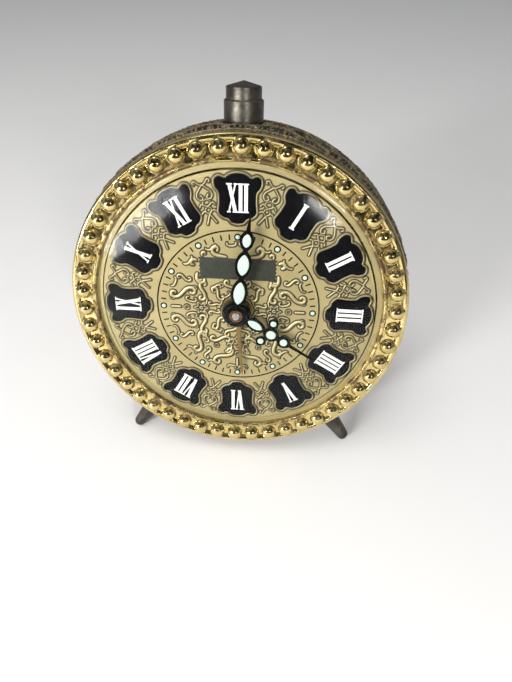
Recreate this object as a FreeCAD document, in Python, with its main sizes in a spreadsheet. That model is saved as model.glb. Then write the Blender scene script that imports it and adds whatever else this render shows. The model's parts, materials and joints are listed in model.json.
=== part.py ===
"""Wind-up travel alarm clock: a drum case on two feet, an embossed dial with three hands, and a
two-spring pillar-plate movement with going train, escapement, alarm train and rear keys.

Every piece is drawn in the clock's own axes: Y runs through the centre of the dial towards the
rear cover, with Y = 0 on the face of the dial, Z points to twelve and X to three.  The finished
pieces then share one lean about X, because the clock stands on two foot tips and on the lower
edge of its rear cover.  The origin is on the table, under the middle of the clock.
All sizes are in millimetres and degrees.
"""
import FreeCAD
import Part
import Sketcher
import math
import os
import re

Vector = FreeCAD.Vector
Rotation = FreeCAD.Rotation
Placement = FreeCAD.Placement

doc = FreeCAD.newDocument("TravelAlarmClock")
sheet = doc.addObject("Spreadsheet::Sheet", "Dimensions")
# A second sheet works out single formulas, so that the first one stays untouched while drawing.
scratch = doc.addObject("Spreadsheet::Sheet", "Scratch")

# Name and value of every driving size.  Names ending in _y are positions along the clock's axis.
DIMENSIONS = [
    # outer case
    ("bezel_radius", "38"),
    ("bezel_rear_y", "2.2"),
    ("lip_width", "0.8"),
    ("channel_wall", "0.8"),
    ("window_radius", "32.4"),
    ("bead_circle_radius", "35.45"),
    ("bead_radius", "1.8"),
    ("bead_count", "50"),
    ("bead_phase", "1.1"),
    ("drum_radius", "37.1"),
    ("drum_wall", "0.6"),
    ("drum_front_y", "1.4"),
    ("drum_rear_y", "19.4"),
    ("band_radius", "38.9"),
    ("band_front_y", "2.9"),
    ("band_rear_y", "15"),
    ("cover_front_y", "20.4"),
    ("cover_thickness", "0.6"),
    ("cover_skirt_y", "17"),
    ("rim_roll", "1.5"),
    # feet and stop button
    ("foot_y", "6.9"),
    ("foot_angle", "35.3"),
    ("foot_reach", "49.8"),
    ("foot_root", "2.5"),
    ("foot_tip", "=rim_roll"),
    ("stud_radius", "1"),
    ("button_y", "10.9"),
    ("collar_radius", "4.15"),
    ("collar_top", "42.75"),
    ("plunger_radius", "3.7"),
    ("plunger_shoulder", "45.2"),
    ("plunger_apex", "46.15"),
    ("rod_radius", "1"),
    ("rod_end", "31.6"),
    ("running_gap", "0.05"),
    # glass and dial
    ("crystal_wall", "1"),
    ("flange_radius", "32.9"),
    ("flange_bore", "31.2"),
    ("flange_front_y", "-0.2"),
    ("flange_rear_y", "0.4"),
    ("shoulder_radius", "30.9"),
    ("shoulder_y", "-2.9"),
    ("dome_y", "-6.8"),
    ("dome_curve", "=(shoulder_radius ^ 2 + (shoulder_y - dome_y) ^ 2) / 2 / (shoulder_y - dome_y)"),
    ("inner_shoulder_radius", "=shoulder_radius - 1"),
    ("inner_rise", "=shoulder_y - 0.3 - dome_y"),
    ("inner_curve", "=(inner_shoulder_radius ^ 2 + inner_rise ^ 2) / 2 / inner_rise"),
    ("dial_radius", "30.8"),
    ("dial_thickness", "0.5"),
    # hands
    ("hand_thickness", "0.35"),
    ("hand_border", "0.55"),
    ("alarm_hand_y", "-1.1"),
    ("hour_hand_y", "-2.1"),
    ("minute_hand_y", "-2.95"),
    ("minute_hand_length", "23.1"),
    ("hour_hand_length", "20.6"),
    ("alarm_hand_length", "17"),
    ("minute_hand_angle", "7.4"),
    ("hour_hand_angle", "121.7"),
    ("alarm_hand_angle", "175.5"),
    # movement plates
    ("plate_radius", "29"),
    ("plate_thickness", "1"),
    ("front_plate_y", "4.8"),
    ("back_plate_y", "16"),
    ("pillar_circle", "26.3"),
    ("pillar_radius", "1.5"),
    ("rear_post_circle", "24.5"),
    ("pivot_radius", "0.45"),
    ("shaft_radius", "0.6"),
    ("arbor_radius", "0.8"),
    ("winding_arbor_radius", "1.2"),
    ("end_shake", "0.1"),
    ("wheel_thickness", "0.6"),
    ("escape_thickness", "0.5"),
    ("leaf_width", "1.2"),
    # gearing: modules, then tooth counts
    ("power_module", "0.35"),
    ("train_module", "0.28"),
    ("great_teeth", "72"),
    ("centre_leaves", "12"),
    ("centre_teeth", "64"),
    ("third_leaves", "8"),
    ("third_teeth", "60"),
    ("fourth_leaves", "8"),
    ("fourth_teeth", "60"),
    ("escape_leaves", "8"),
    ("escape_teeth", "15"),
    ("alarm_great_teeth", "60"),
    ("alarm_escape_leaves", "8"),
    ("cannon_teeth", "12"),
    ("minute_wheel_teeth", "36"),
    ("minute_pinion_teeth", "12"),
    ("hour_wheel_teeth", "48"),
    ("alarm_wheel_teeth", "57"),
    ("alarm_setting_teeth", "19"),
    # where the arbors stand, seen from the front, anticlockwise from three o'clock
    ("winding_distance", "=power_module * (great_teeth + centre_leaves) / 2"),
    ("winding_angle", "200"),
    ("third_angle", "70"),
    ("fourth_angle", "120"),
    ("escape_angle", "205"),
    ("pallet_distance", "6.2"),
    ("pallet_angle", "215"),
    ("balance_distance", "6.6"),
    ("balance_angle", "190"),
    ("alarm_escape_angle", "60"),
    ("hammer_distance", "4.9"),
    ("hammer_angle", "100"),
    ("minute_wheel_angle", "45"),
    # how far the middle of the leaning clock's depth lies behind the dial's centre
    ("depth_middle", "9.73"),
]

for row, (alias, text) in enumerate(DIMENSIONS, start=1):
    sheet.set(f"A{row}", alias)
    sheet.set(f"B{row}", text)
    sheet.setAlias(f"B{row}", alias)
doc.recompute()

ALIASES = {alias for alias, text in DIMENSIONS}
SCRATCH_CELL = "A1"


def bound(formula):
    """Return a formula in sheet names as an expression any object of the document can hold."""
    return re.sub(r"[a-z_]+", lambda word: f"Dimensions.{word.group()}" if word.group() in ALIASES
                  else word.group(), str(formula))


def size(formula):
    """Return the number that a formula in sheet names comes to."""
    if isinstance(formula, (int, float)):
        return float(formula)
    scratch.set(SCRATCH_CELL, f"={bound(formula)}")
    scratch.recompute()
    return float(scratch.get(SCRATCH_CELL))


# ---------------------------------------------------------------------------------------------
# Where things stand
# ---------------------------------------------------------------------------------------------

def polar(distance, angle, start=(0.0, 0.0)):
    """Return the (x, z) a distance away from start, at an angle anticlockwise from three."""
    turn = math.radians(angle)
    return (start[0] + distance * math.cos(turn), start[1] + distance * math.sin(turn))


def centre_distance(module, teeth, leaves):
    return size(f"{module} * ({teeth} + {leaves}) / 2")


CENTRE = (0.0, 0.0)
TIME_WINDING = polar(size("winding_distance"), size("winding_angle"))
ALARM_WINDING = (-TIME_WINDING[0], TIME_WINDING[1])
THIRD = polar(centre_distance("train_module", "centre_teeth", "third_leaves"), size("third_angle"))
FOURTH = polar(centre_distance("train_module", "third_teeth", "fourth_leaves"),
               size("fourth_angle"), THIRD)
ESCAPE = polar(centre_distance("train_module", "fourth_teeth", "escape_leaves"),
               size("escape_angle"), FOURTH)
PALLET = polar(size("pallet_distance"), size("pallet_angle"), ESCAPE)
BALANCE = polar(size("balance_distance"), size("balance_angle"), PALLET)
ALARM_ESCAPE = polar(centre_distance("power_module", "alarm_great_teeth", "alarm_escape_leaves"),
                     size("alarm_escape_angle"), ALARM_WINDING)
HAMMER = polar(size("hammer_distance"), size("hammer_angle"), ALARM_ESCAPE)
MINUTE_WHEEL = polar(centre_distance("power_module", "cannon_teeth", "minute_wheel_teeth"),
                     size("minute_wheel_angle"))
ALARM_SETTING = polar(centre_distance("train_module", "alarm_wheel_teeth", "alarm_setting_teeth"),
                      270)

# The table touches the round foot tips and the round roll of the rear cover, which share a radius.
FOOT_DROP = size("(foot_reach - foot_tip) * cos(foot_angle)")
ROLL_DROP = size("bezel_radius - rim_roll")
ROLL_Y = size("cover_front_y + cover_thickness + 0.4 - rim_roll")
LEAN = math.degrees(math.atan2(FOOT_DROP - ROLL_DROP, ROLL_Y - size("foot_y")))
LEANING = Rotation(Vector(1, 0, 0), -LEAN)
TABLE_DROP = -LEANING.multVec(Vector(0, size("foot_y"), -FOOT_DROP)).z + size("foot_tip")


def standing(x=0.0, z=0.0, turn=None):
    """Return the placement of a piece whose own origin is at (x, z) on the clock's axes."""
    local = Placement(Vector(x, 0, z), turn or Rotation())
    lean = Placement(Vector(0, -size("depth_middle"), TABLE_DROP), LEANING)
    return lean.multiply(local)


# ---------------------------------------------------------------------------------------------
# Drawing tools shared by every piece
# ---------------------------------------------------------------------------------------------

def new_piece(label, placement):
    """Start a named sub-part as a body that takes the shared lean."""
    body = doc.addObject("PartDesign::Body", "".join(word.title() for word in label.split("_")))
    body.Label = label
    body.AllowCompound = True
    body.Placement = placement
    return body


def origin_part(body, role):
    return next(part for part in body.Origin.OriginFeatures if part.Role == role)


def new_sketch(body, plane, height=0.0, turn=None):
    """Start a sketch on one of the body's own origin planes, shifted along the plane's normal."""
    sketch = body.newObject("Sketcher::SketchObject", body.Name + "Sketch")
    sketch.AttachmentSupport = (origin_part(body, plane), [""])
    sketch.MapMode = "FlatFace"
    sketch.AttachmentOffset = Placement(Vector(0, 0, height), turn or Rotation())
    return sketch


def pin_point(sketch, geometry, end, x, y):
    """Hold one end of a line or arc at a position given by two formulas."""
    for kind, formula in (("DistanceX", x), ("DistanceY", y)):
        index = sketch.addConstraint(
            Sketcher.Constraint(kind, -1, 1, geometry, end, size(formula)))
        sketch.setExpression(f"Constraints[{index}]", bound(formula))


def arc_between(first, last, radius):
    """Return the arc from first to last; a positive radius bulges to the right of the walk."""
    chord = last - first
    half = chord.Length / 2
    left = Vector(-chord.y, chord.x, 0).normalize()
    side = 1 if radius > 0 else -1
    depth = math.sqrt(max(radius * radius - half * half, 0.0))
    centre = (first + last) * 0.5 + left * (side * depth)
    start_angle = math.atan2(first.y - centre.y, first.x - centre.x)
    end_angle = math.atan2(last.y - centre.y, last.x - centre.x)
    circle = Part.Circle(centre, Vector(0, 0, 1), abs(radius))
    if radius > 0:
        return Part.ArcOfCircle(circle, start_angle, end_angle), 1, 2
    return Part.ArcOfCircle(circle, end_angle, start_angle), 2, 1


def draw_outline(sketch, points):
    """Draw a closed outline.  Each point is (x, y), or (x, y, r) when the stretch that follows it
    is an arc of radius r instead of a line."""
    count = len(points)
    places = [Vector(size(point[0]), size(point[1]), 0) for point in points]
    ends = []
    first_geometry = sketch.GeometryCount
    for index, point in enumerate(points):
        start = places[index]
        finish = places[(index + 1) % count]
        if len(point) == 3:
            curve, head, tail = arc_between(start, finish, size(point[2]))
        else:
            curve, head, tail = Part.LineSegment(start, finish), 1, 2
        ends.append((head, tail))
        sketch.addGeometry(curve)
    for index, point in enumerate(points):
        here = first_geometry + index
        following = (index + 1) % count
        sketch.addConstraint(Sketcher.Constraint(
            "Coincident", here, ends[index][1], first_geometry + following, ends[following][0]))
        pin_point(sketch, here, ends[index][0], point[0], point[1])
        if len(point) == 3:
            arc = sketch.addConstraint(
                Sketcher.Constraint("Radius", here, abs(size(point[2]))))
            sketch.setExpression(f"Constraints[{arc}]", bound(f"abs({point[2]})"))


def draw_circle(sketch, x, y, radius):
    place = Vector(size(x), size(y), 0)
    index = sketch.addGeometry(Part.Circle(place, Vector(0, 0, 1), size(radius)))
    pin_point(sketch, index, 3, x, y)
    held = sketch.addConstraint(Sketcher.Constraint("Radius", index, size(radius)))
    sketch.setExpression(f"Constraints[{held}]", bound(radius))


def revolve(body, outline, removing=False):
    """Turn an outline of (radius, y) points about the body's Y axis."""
    sketch = new_sketch(body, "XY_Plane")
    draw_outline(sketch, outline)
    kind = "PartDesign::Groove" if removing else "PartDesign::Revolution"
    feature = body.newObject(kind, body.Name + "Turning")
    feature.Profile = sketch
    feature.ReferenceAxis = (origin_part(body, "Y_Axis"), [""])
    feature.Angle = 360
    doc.recompute()
    return feature


def turned(label, outline, placement):
    """A piece turned about its own Y axis from an outline of (radius, y) points."""
    body = new_piece(label, placement)
    revolve(body, outline)
    return body


def pad(body, sketch, thickness):
    """Raise a sketch on XZ towards the rear of the clock."""
    feature = body.newObject("PartDesign::Pad", body.Name + "Pad")
    feature.Profile = sketch
    feature.Reversed = True
    feature.Length = size(thickness)
    feature.setExpression("Length", bound(thickness))
    doc.recompute()
    return feature


def pocket_through(body, sketch):
    """Cut a sketch right through the body in both directions."""
    feature = body.newObject("PartDesign::Pocket", body.Name + "Opening")
    feature.Profile = sketch
    feature.Type = "ThroughAll"
    feature.Midplane = True
    doc.recompute()
    return feature


def pocket_one_way(body, sketch):
    """Cut a sketch through the body on the side its normal points to."""
    feature = body.newObject("PartDesign::Pocket", body.Name + "Opening")
    feature.Profile = sketch
    feature.Type = "ThroughAll"
    feature.Reversed = True
    doc.recompute()
    return feature


def repeat_round(body, features, count):
    """Repeat features evenly round the body's Y axis."""
    pattern = body.newObject("PartDesign::PolarPattern", body.Name + "Round")
    pattern.Originals = features
    pattern.Axis = (origin_part(body, "Y_Axis"), [""])
    pattern.Angle = 360
    pattern.Occurrences = int(size(count))
    body.Tip = pattern
    doc.recompute()
    return pattern


def drill(body, holes):
    """Drill (x, z, radius) holes along the clock's axis."""
    sketch = new_sketch(body, "XZ_Plane")
    for x, z, radius in holes:
        draw_circle(sketch, x, z, radius)
    return pocket_through(body, sketch)


def steps(*pairs):
    """Return the outline of a stepped shaft from (radius, start y, end y) lengths."""
    outline = [("0", pairs[0][1])]
    for radius, start, finish in pairs:
        outline.append((radius, start))
        outline.append((radius, finish))
    outline.append(("0", pairs[-1][2]))
    return outline


# ---------------------------------------------------------------------------------------------
# Gears
# ---------------------------------------------------------------------------------------------

# Tooth shape in modules: height above and depth below the pitch circle, and half the thickness
# at the root, on the pitch circle and at the tip.  Pinion leaves are lower and thinner.
WHEEL_TOOTH = {"above": 0.95, "below": 1.35, "root": 0.95, "pitch": 0.66, "tip": 0.22}
LEAF_TOOTH = {"above": 0.70, "below": 1.45, "root": 0.42, "pitch": 0.50, "tip": 0.22}


def tip_radius(module, teeth, tooth):
    return f"{module} * ({teeth} / 2 + {tooth['above']})"


def draw_fixed_outline(sketch, corners):
    """Draw a closed outline of straight lines that stay where they are."""
    for first, last in zip(corners, corners[1:] + corners[:1]):
        line = sketch.addGeometry(Part.LineSegment(first, last))
        sketch.addConstraint(Sketcher.Constraint("Block", line))


def cut_teeth(body, module, teeth, tooth, start_y, width):
    """Cut the spaces between teeth into a blank, leaving a tooth at twelve."""
    pitch_radius = size(f"{module} * {teeth} / 2")
    scale = size(module)
    step = math.tau / size(teeth)
    sketch = new_sketch(body, "XZ_Plane", -size(start_y))

    def corner(radius, half_width, side):
        angle = math.pi / 2 + side * (step / 2 - half_width * scale / radius)
        return Vector(radius * math.cos(angle), radius * math.sin(angle), 0)

    tip = pitch_radius + tooth["above"] * scale
    root = pitch_radius - tooth["below"] * scale
    beyond = tip + 0.3 * scale
    corners = [corner(root, tooth["root"], 1), corner(pitch_radius, tooth["pitch"], 1),
               corner(tip, tooth["tip"], 1), corner(beyond, tooth["tip"], 1),
               corner(beyond, tooth["tip"], -1), corner(tip, tooth["tip"], -1),
               corner(pitch_radius, tooth["pitch"], -1), corner(root, tooth["root"], -1)]
    half_step = Rotation(Vector(0, 0, 1), math.degrees(step / 2))
    corners = [half_step.multVec(point) for point in corners]
    draw_fixed_outline(sketch, corners)
    space = body.newObject("PartDesign::Pocket", body.Name + "ToothSpace")
    space.Profile = sketch
    space.Length = size(width)
    doc.recompute()
    return repeat_round(body, [space], teeth)


def cut_saw_teeth(body, teeth, radius, start_y, width, root, undercut=0.0, land=1.0):
    """Cut the gullets of a saw-toothed wheel.

    root is a share of the radius, and undercut and land are shares of the step between teeth.
    The gullet's long side reaches just inside the tips, which leaves a small land on each tooth.
    """
    step = math.tau / size(teeth)
    beyond = 1.1 * radius
    corners = []
    for reach, share in ((root * radius, undercut), (beyond, 0), (beyond, land),
                         (0.99 * radius, land)):
        angle = share * step
        corners.append(Vector(reach * math.cos(angle), reach * math.sin(angle), 0))
    sketch = new_sketch(body, "XZ_Plane", -size(start_y))
    draw_fixed_outline(sketch, corners)
    gullet = body.newObject("PartDesign::Pocket", body.Name + "Gullet")
    gullet.Profile = sketch
    gullet.Length = size(width)
    doc.recompute()
    repeat_round(body, [gullet], teeth)


def mesh_turn(first_turn, first_teeth, direction, second_teeth):
    """Return the clockwise turn that puts the second gear's space on the first gear's tooth.

    direction is the angle from the first gear's centre to the second's, anticlockwise from three.
    """
    first_step = 360 / size(first_teeth)
    second_step = 360 / size(second_teeth)
    past_tooth = ((direction - (90 - first_turn)) / first_step) % 1
    tooth_angle = direction + 180 - second_step * (0.5 - past_tooth)
    return 90 - tooth_angle


def clockwise(angle):
    """Return the rotation that turns a piece clockwise as seen from the front."""
    return Rotation(Vector(0, 1, 0), angle)


def cross_out(body, inner, outer, arms, arm_width):
    """Cut the windows between a wheel's arms."""
    sketch = new_sketch(body, "XZ_Plane")
    gap = arm_width / 2
    inner_start = math.asin(gap / inner)
    outer_start = math.asin(gap / outer)
    sector = math.tau / arms
    corners = []
    for radius, angle, curve in ((inner, inner_start, None), (outer, outer_start, outer),
                                 (outer, sector - outer_start, None),
                                 (inner, sector - inner_start, -inner)):
        corner = (radius * math.cos(angle), radius * math.sin(angle))
        corners.append(corner if curve is None else corner + (curve,))
    draw_outline(sketch, corners)
    window = pocket_through(body, sketch)
    return repeat_round(body, [window], arms)


def sleeve(bore, *lengths):
    """Return the outline of a bored, stepped sleeve from (radius, start y, end y) lengths."""
    outline = [(bore, lengths[0][1])]
    for radius, start, finish in lengths:
        outline.append((radius, start))
        outline.append((radius, finish))
    outline.append((bore, lengths[-1][2]))
    return outline


def cut_plate(label, placement, start_y, thickness, outline=None, circles=()):
    """A flat piece cut from sheet: one outline and any number of (x, z, radius) circles."""
    body = new_piece(label, placement)
    sketch = new_sketch(body, "XZ_Plane", -size(start_y))
    if outline:
        draw_outline(sketch, outline)
    for x, z, radius in circles:
        draw_circle(sketch, x, z, radius)
    pad(body, sketch, thickness)
    return body


def hexagon(across_flats):
    """Return the corners of a hexagon about the axis."""
    corner = f"({across_flats}) / 2 / cos(30)"
    return [(f"{corner} * cos({60 * side})", f"{corner} * sin({60 * side})") for side in range(6)]


def add_disc(body, start_y, thickness, circles):
    """Add round bosses at (x, z, radius) to a piece."""
    sketch = new_sketch(body, "XZ_Plane", -size(start_y))
    for x, z, radius in circles:
        draw_circle(sketch, x, z, radius)
    return pad(body, sketch, thickness)


# ---------------------------------------------------------------------------------------------
# Case
# ---------------------------------------------------------------------------------------------

# The bezel's inner wall leaves this room round the crystal's flange.
CRYSTAL_SEAT = "flange_radius + 0.1"


def make_bezel():
    """Rolled outer lip, channel with a ring of beads, and the inner lip that holds the crystal."""
    lip_front = "-0.6"
    inner_front = "-1.1"
    bezel = turned("bezel", [
        ("window_radius", "flange_front_y"),
        ("window_radius", inner_front, "0.51"),
        ("window_radius + 1", inner_front),
        ("window_radius + 1", "0"),
        ("bezel_radius - lip_width", "0"),
        ("bezel_radius - lip_width", lip_front, "0.41"),
        ("bezel_radius", lip_front),
        ("bezel_radius", "bezel_rear_y"),
        ("drum_radius + running_gap", "bezel_rear_y"),
        ("drum_radius + running_gap", "channel_wall"),
        (CRYSTAL_SEAT, "channel_wall"),
        (CRYSTAL_SEAT, "flange_front_y"),
    ], standing(turn=clockwise(size("bead_phase"))))
    bead = bezel.newObject("PartDesign::AdditiveSphere", "Bead")
    bead.AttachmentSupport = (origin_part(bezel, "XZ_Plane"), [""])
    bead.MapMode = "FlatFace"
    bead.AttachmentOffset = Placement(Vector(0, size("bead_circle_radius"), 0.5), Rotation())
    bead.setExpression("Radius", bound("bead_radius"))
    bead.Angle1 = -30
    bead.Angle2 = 90
    bead.Angle3 = 360
    doc.recompute()
    repeat_round(bezel, [bead], "bead_count")


def make_crystal():
    """A domed window with a flat flange round its edge."""
    body = new_piece("crystal", standing())
    revolve(body, [
        ("flange_bore", "flange_rear_y"),
        ("flange_radius", "flange_rear_y"),
        ("flange_radius", "flange_front_y"),
        ("window_radius - 0.1", "flange_front_y"),
        ("shoulder_radius", "shoulder_y", "-dome_curve"),
        ("0", "dome_y"),
        ("0", "dome_y + crystal_wall", "inner_curve"),
        ("inner_shoulder_radius", "dome_y + crystal_wall + inner_rise"),
    ])


def make_glass_ring():
    """The ring behind the crystal's flange, resting on the front edge of the drum."""
    turned("glass_ring", [
        ("flange_bore", "flange_rear_y"),
        ("flange_radius", "flange_rear_y"),
        ("flange_radius", "channel_wall"),
        ("drum_radius - 0.1", "channel_wall"),
        ("drum_radius - 0.1", "drum_front_y"),
        ("flange_bore", "drum_front_y"),
    ], standing())


def make_dial_plate():
    """The dial disc, its centre hole, and three feet that stand on the front plate."""
    dial = cut_plate("dial_plate", standing(), "0", "dial_thickness",
                     circles=[("0", "0", "dial_radius"), ("0", "0", "3.1")])
    foot_circle = 20
    for angle in (90, 210, 330):
        x, z = polar(foot_circle, angle)
        add_disc(dial, "dial_thickness", "front_plate_y - dial_thickness", [(x, z, "1")])


def foot_turn(side):
    """Return the rotation that points a piece's own Y axis down and out to one side."""
    angle = size("foot_angle")
    return Rotation(Vector(0, 1, 0), -side * angle).multiply(Rotation(Vector(1, 0, 0), -90))


def foot_placement(side):
    lean = standing()
    return lean.multiply(Placement(Vector(0, size("foot_y"), 0), foot_turn(side)))


def button_placement():
    lean = standing()
    upright = Placement(Vector(0, size("button_y"), 0), Rotation(Vector(1, 0, 0), 90))
    return lean.multiply(upright)


def open_sideways(body, side):
    """Return a sketch across one foot's axis, drawn on the clock's own axes."""
    angle = size("foot_angle")
    turn = Rotation(Vector(0, 1, 0), 180 - side * angle)
    sketch = new_sketch(body, "XY_Plane", 0, turn)
    return sketch


def pierce_wall(body, button_hole, foot_hole):
    """Open the drum wall for the stop button and for the two feet."""
    sketch = new_sketch(body, "XY_Plane")
    draw_circle(sketch, "0", "button_y", button_hole)
    pocket_one_way(body, sketch)
    for side in (-1, 1):
        sketch = open_sideways(body, side)
        draw_circle(sketch, "0", "foot_y", foot_hole)
        pocket_one_way(body, sketch)


def make_case_drum():
    drum = turned("case_drum", [
        ("drum_radius", "drum_front_y"),
        ("drum_radius", "drum_rear_y"),
        ("drum_radius - 3", "drum_rear_y"),
        ("drum_radius - 3", "drum_rear_y - drum_wall"),
        ("drum_radius - drum_wall", "drum_rear_y - drum_wall"),
        ("drum_radius - drum_wall", "drum_front_y"),
    ], standing())
    pierce_wall(drum, "2.2", "stud_radius")


def make_filigree_band():
    edge = "0.4"
    band = turned("filigree_band", [
        ("drum_radius", "band_front_y"),
        (f"band_radius - {edge}", "band_front_y"),
        ("band_radius", f"band_front_y + {edge}"),
        ("band_radius", f"band_rear_y - {edge}"),
        (f"band_radius - {edge}", "band_rear_y"),
        ("drum_radius", "band_rear_y"),
    ], standing())
    pierce_wall(band, "collar_radius + running_gap", "foot_root + running_gap")


def add_spring(label, shape, placement):
    spring = doc.addObject("Part::Feature", label)
    spring.Label = label
    spring.Shape = shape
    spring.Placement = placement


def rear_screw_places():
    return [polar(size("rear_post_circle"), angle) for angle in (90, 240, 300)]


REGULATOR_REACH = 8.0
REGULATOR_SWING = 20.0


def make_rear_cover():
    """A pressed cap with a rolled rim, bored for the keys, knobs, screws and regulator."""
    cover = turned("rear_cover", [
        ("0", "cover_front_y"),
        ("34.6", "cover_front_y"),
        ("34.6", "drum_rear_y"),
        ("drum_radius + running_gap", "drum_rear_y"),
        ("drum_radius + running_gap", "cover_skirt_y"),
        ("bezel_radius", "cover_skirt_y"),
        ("bezel_radius", f"{ROLL_Y}", "rim_roll"),
        ("bezel_radius - rim_roll", f"{ROLL_Y} + rim_roll"),
        ("35.4", f"{ROLL_Y} + rim_roll"),
        ("34.8", "cover_front_y + cover_thickness"),
        ("0", "cover_front_y + cover_thickness"),
    ], standing())
    knob_hole = "arbor_radius + 0.4"
    key_hole = "winding_arbor_radius + 0.5"
    holes = [(*CENTRE, knob_hole), (*ALARM_SETTING, knob_hole), (*TIME_WINDING, key_hole),
             (*ALARM_WINDING, key_hole)]
    holes += [(x, z, "stud_radius") for x, z in rear_screw_places()]
    drill(cover, holes)
    cut_regulator_slot(cover)
    cut_sound_holes(cover)


def cut_regulator_slot(cover):
    """An arc-shaped slot round the balance's axis, for the regulator's pin to swing in."""
    half_width = 0.9
    end_curve = half_width * 1.01
    swing = REGULATOR_SWING + 2
    sketch = new_sketch(cover, "XZ_Plane")
    corners = []
    for radius, angle, curve in ((REGULATOR_REACH - half_width, 90 + swing, -end_curve),
                                 (REGULATOR_REACH + half_width, 90 + swing,
                                  -(REGULATOR_REACH + half_width)),
                                 (REGULATOR_REACH + half_width, 90 - swing, -end_curve),
                                 (REGULATOR_REACH - half_width, 90 - swing,
                                  REGULATOR_REACH - half_width)):
        corners.append((*polar(radius, angle, BALANCE), curve))
    draw_outline(sketch, corners)
    pocket_through(cover, sketch)


def cut_sound_holes(cover):
    """A small triangle of holes that lets the alarm out."""
    spacing = 3.4
    top_z = 19.0
    rows = 3
    holes = []
    for row_index in range(rows):
        for place in range(row_index + 1):
            x = (place - row_index / 2) * spacing
            z = top_z - row_index * spacing
            holes.append((x, z, "0.8"))
    drill(cover, holes)


def make_rear_screws():
    """Three round-headed screws that hold the cover to the movement's rear posts."""
    screws = new_piece("rear_cover_screws", standing())
    head_y = "cover_front_y + cover_thickness"
    add_disc(screws, "cover_front_y - 2.4", "2.4 + cover_thickness",
             [(x, z, "stud_radius") for x, z in rear_screw_places()])
    add_disc(screws, head_y, "1", [(x, z, "2") for x, z in rear_screw_places()])


def make_feet():
    for side, label in ((-1, "left_foot"), (1, "right_foot")):
        turned(label, [
            ("0", "33.6"),
            ("stud_radius", "33.6"),
            ("stud_radius", "drum_radius"),
            ("foot_root", "drum_radius"),
            ("foot_root", "band_radius + 0.6"),
            ("foot_tip", "foot_reach - foot_tip", "foot_tip"),
            ("0", "foot_reach"),
        ], foot_placement(side))


def make_foot_nuts():
    """Two nuts inside the drum, one on each foot's stud."""
    nuts = new_piece("foot_nuts", standing())
    for side in (-1, 1):
        sketch = nuts.newObject("Sketcher::SketchObject", "NutSketch")
        place = Placement(Vector(0, size("foot_y"), 0), foot_turn(side))
        flat = Placement(Vector(0, 35.0, 0), Rotation(Vector(1, 0, 0), 90))
        sketch.Placement = place.multiply(flat)
        draw_outline(sketch, hexagon("3.8"))
        draw_circle(sketch, "0", "0", "stud_radius")
        pad(nuts, sketch, "1.35")


# ---------------------------------------------------------------------------------------------
# Stop button
# ---------------------------------------------------------------------------------------------

COLLAR_FLOOR = "38.4"
# The spring's wire is drawn with this many flat sides.
WIRE_SIDES = 8


def make_stop_button():
    place = button_placement()
    turned("button_collar", [
        ("rod_radius + running_gap", "35"),
        ("2.2", "35"),
        ("2.2", "drum_radius"),
        ("collar_radius", "drum_radius"),
        ("collar_radius", "collar_top - 0.3"),
        ("collar_radius - 0.3", "collar_top"),
        ("plunger_radius + running_gap", "collar_top"),
        ("plunger_radius + running_gap", COLLAR_FLOOR),
        ("rod_radius + running_gap", COLLAR_FLOOR),
    ], place)
    turned("stop_button", [
        ("0", "rod_end"),
        ("rod_radius", "rod_end"),
        ("rod_radius", "43.9"),
        ("3", "43.9"),
        ("3", "40.6"),
        ("plunger_radius", "40.6"),
        ("plunger_radius", "plunger_shoulder - 0.2"),
        ("plunger_radius - 0.3", "plunger_shoulder"),
        ("0", "plunger_apex"),
    ], place)
    turned("button_clip", sleeve("rod_radius", ("2", "34.2", "34.8")), place)
    cut_plate("collar_nut", place, "35", "1.2", hexagon("6.2"), [("0", "0", "2.2")])


def make_button_spring():
    """A coil spring between the collar's floor and the underside of the button."""
    coil_radius = 2.0
    wire = 0.25
    bottom = size(COLLAR_FLOOR) + wire + 0.02
    height = 43.9 - wire - 0.02 - bottom
    turns = 4
    helix = Part.makeHelix(height / turns, height, coil_radius)
    corners = []
    for side in range(WIRE_SIDES + 1):
        angle = math.tau * side / WIRE_SIDES
        corners.append(Vector(coil_radius + wire * math.cos(angle), 0, wire * math.sin(angle)))
    section = Part.makePolygon(corners)
    coil = Part.Wire(helix).makePipeShell([section], True, True)
    foot_of_coil = Placement(Vector(0, size("button_y"), bottom), Rotation())
    add_spring("stop_button_spring", coil, standing().multiply(foot_of_coil))


# ---------------------------------------------------------------------------------------------
# Hands
# ---------------------------------------------------------------------------------------------

LUME_THICKNESS = 0.1
MINUTE_HUB = 2.6
HOUR_HUB = 3.26

# Luminous inserts.  Pointed ovals are (distance along the hand, half length, half width), and
# round ones are (sideways, along, radius).
MINUTE_OVALS = [(5.5, 2.6, 1.15), (12.1, 2.6, 1.2), (17.5, 2.4, 1.0)]
HOUR_OVALS = [(4.95, 1.75, 0.8)]
HOUR_ROUNDS = [(0, 9.3, 1.05), (2.67, 8.2, 0.66), (-2.67, 8.2, 0.66), (0, 12.75, 0.82)]


def lens(centre, half_length, half_width):
    """Return a pointed oval as two arcs, standing on the hand's own axis."""
    radius = (half_length ** 2 + half_width ** 2) / (2 * half_width)
    return [(0, centre - half_length, radius), (0, centre + half_length, radius)]


def pad_outline(body, height, thickness, corners):
    """Add a flat outline to a hand, its rear face at a height in front of the dial."""
    sketch = new_sketch(body, "XZ_Plane", height)
    draw_outline(sketch, corners)
    pad(body, sketch, thickness)


def pad_round(body, height, thickness, x, z, radius):
    sketch = new_sketch(body, "XZ_Plane", height)
    draw_circle(sketch, x, z, radius)
    pad(body, sketch, thickness)


def needle(start, half_width, bend, bend_width, length):
    """Return a stem that narrows to a bend, then runs out to a point."""
    return [(half_width, start), (bend_width, bend), (0, length), (-bend_width, bend),
            (-half_width, start)]


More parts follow.
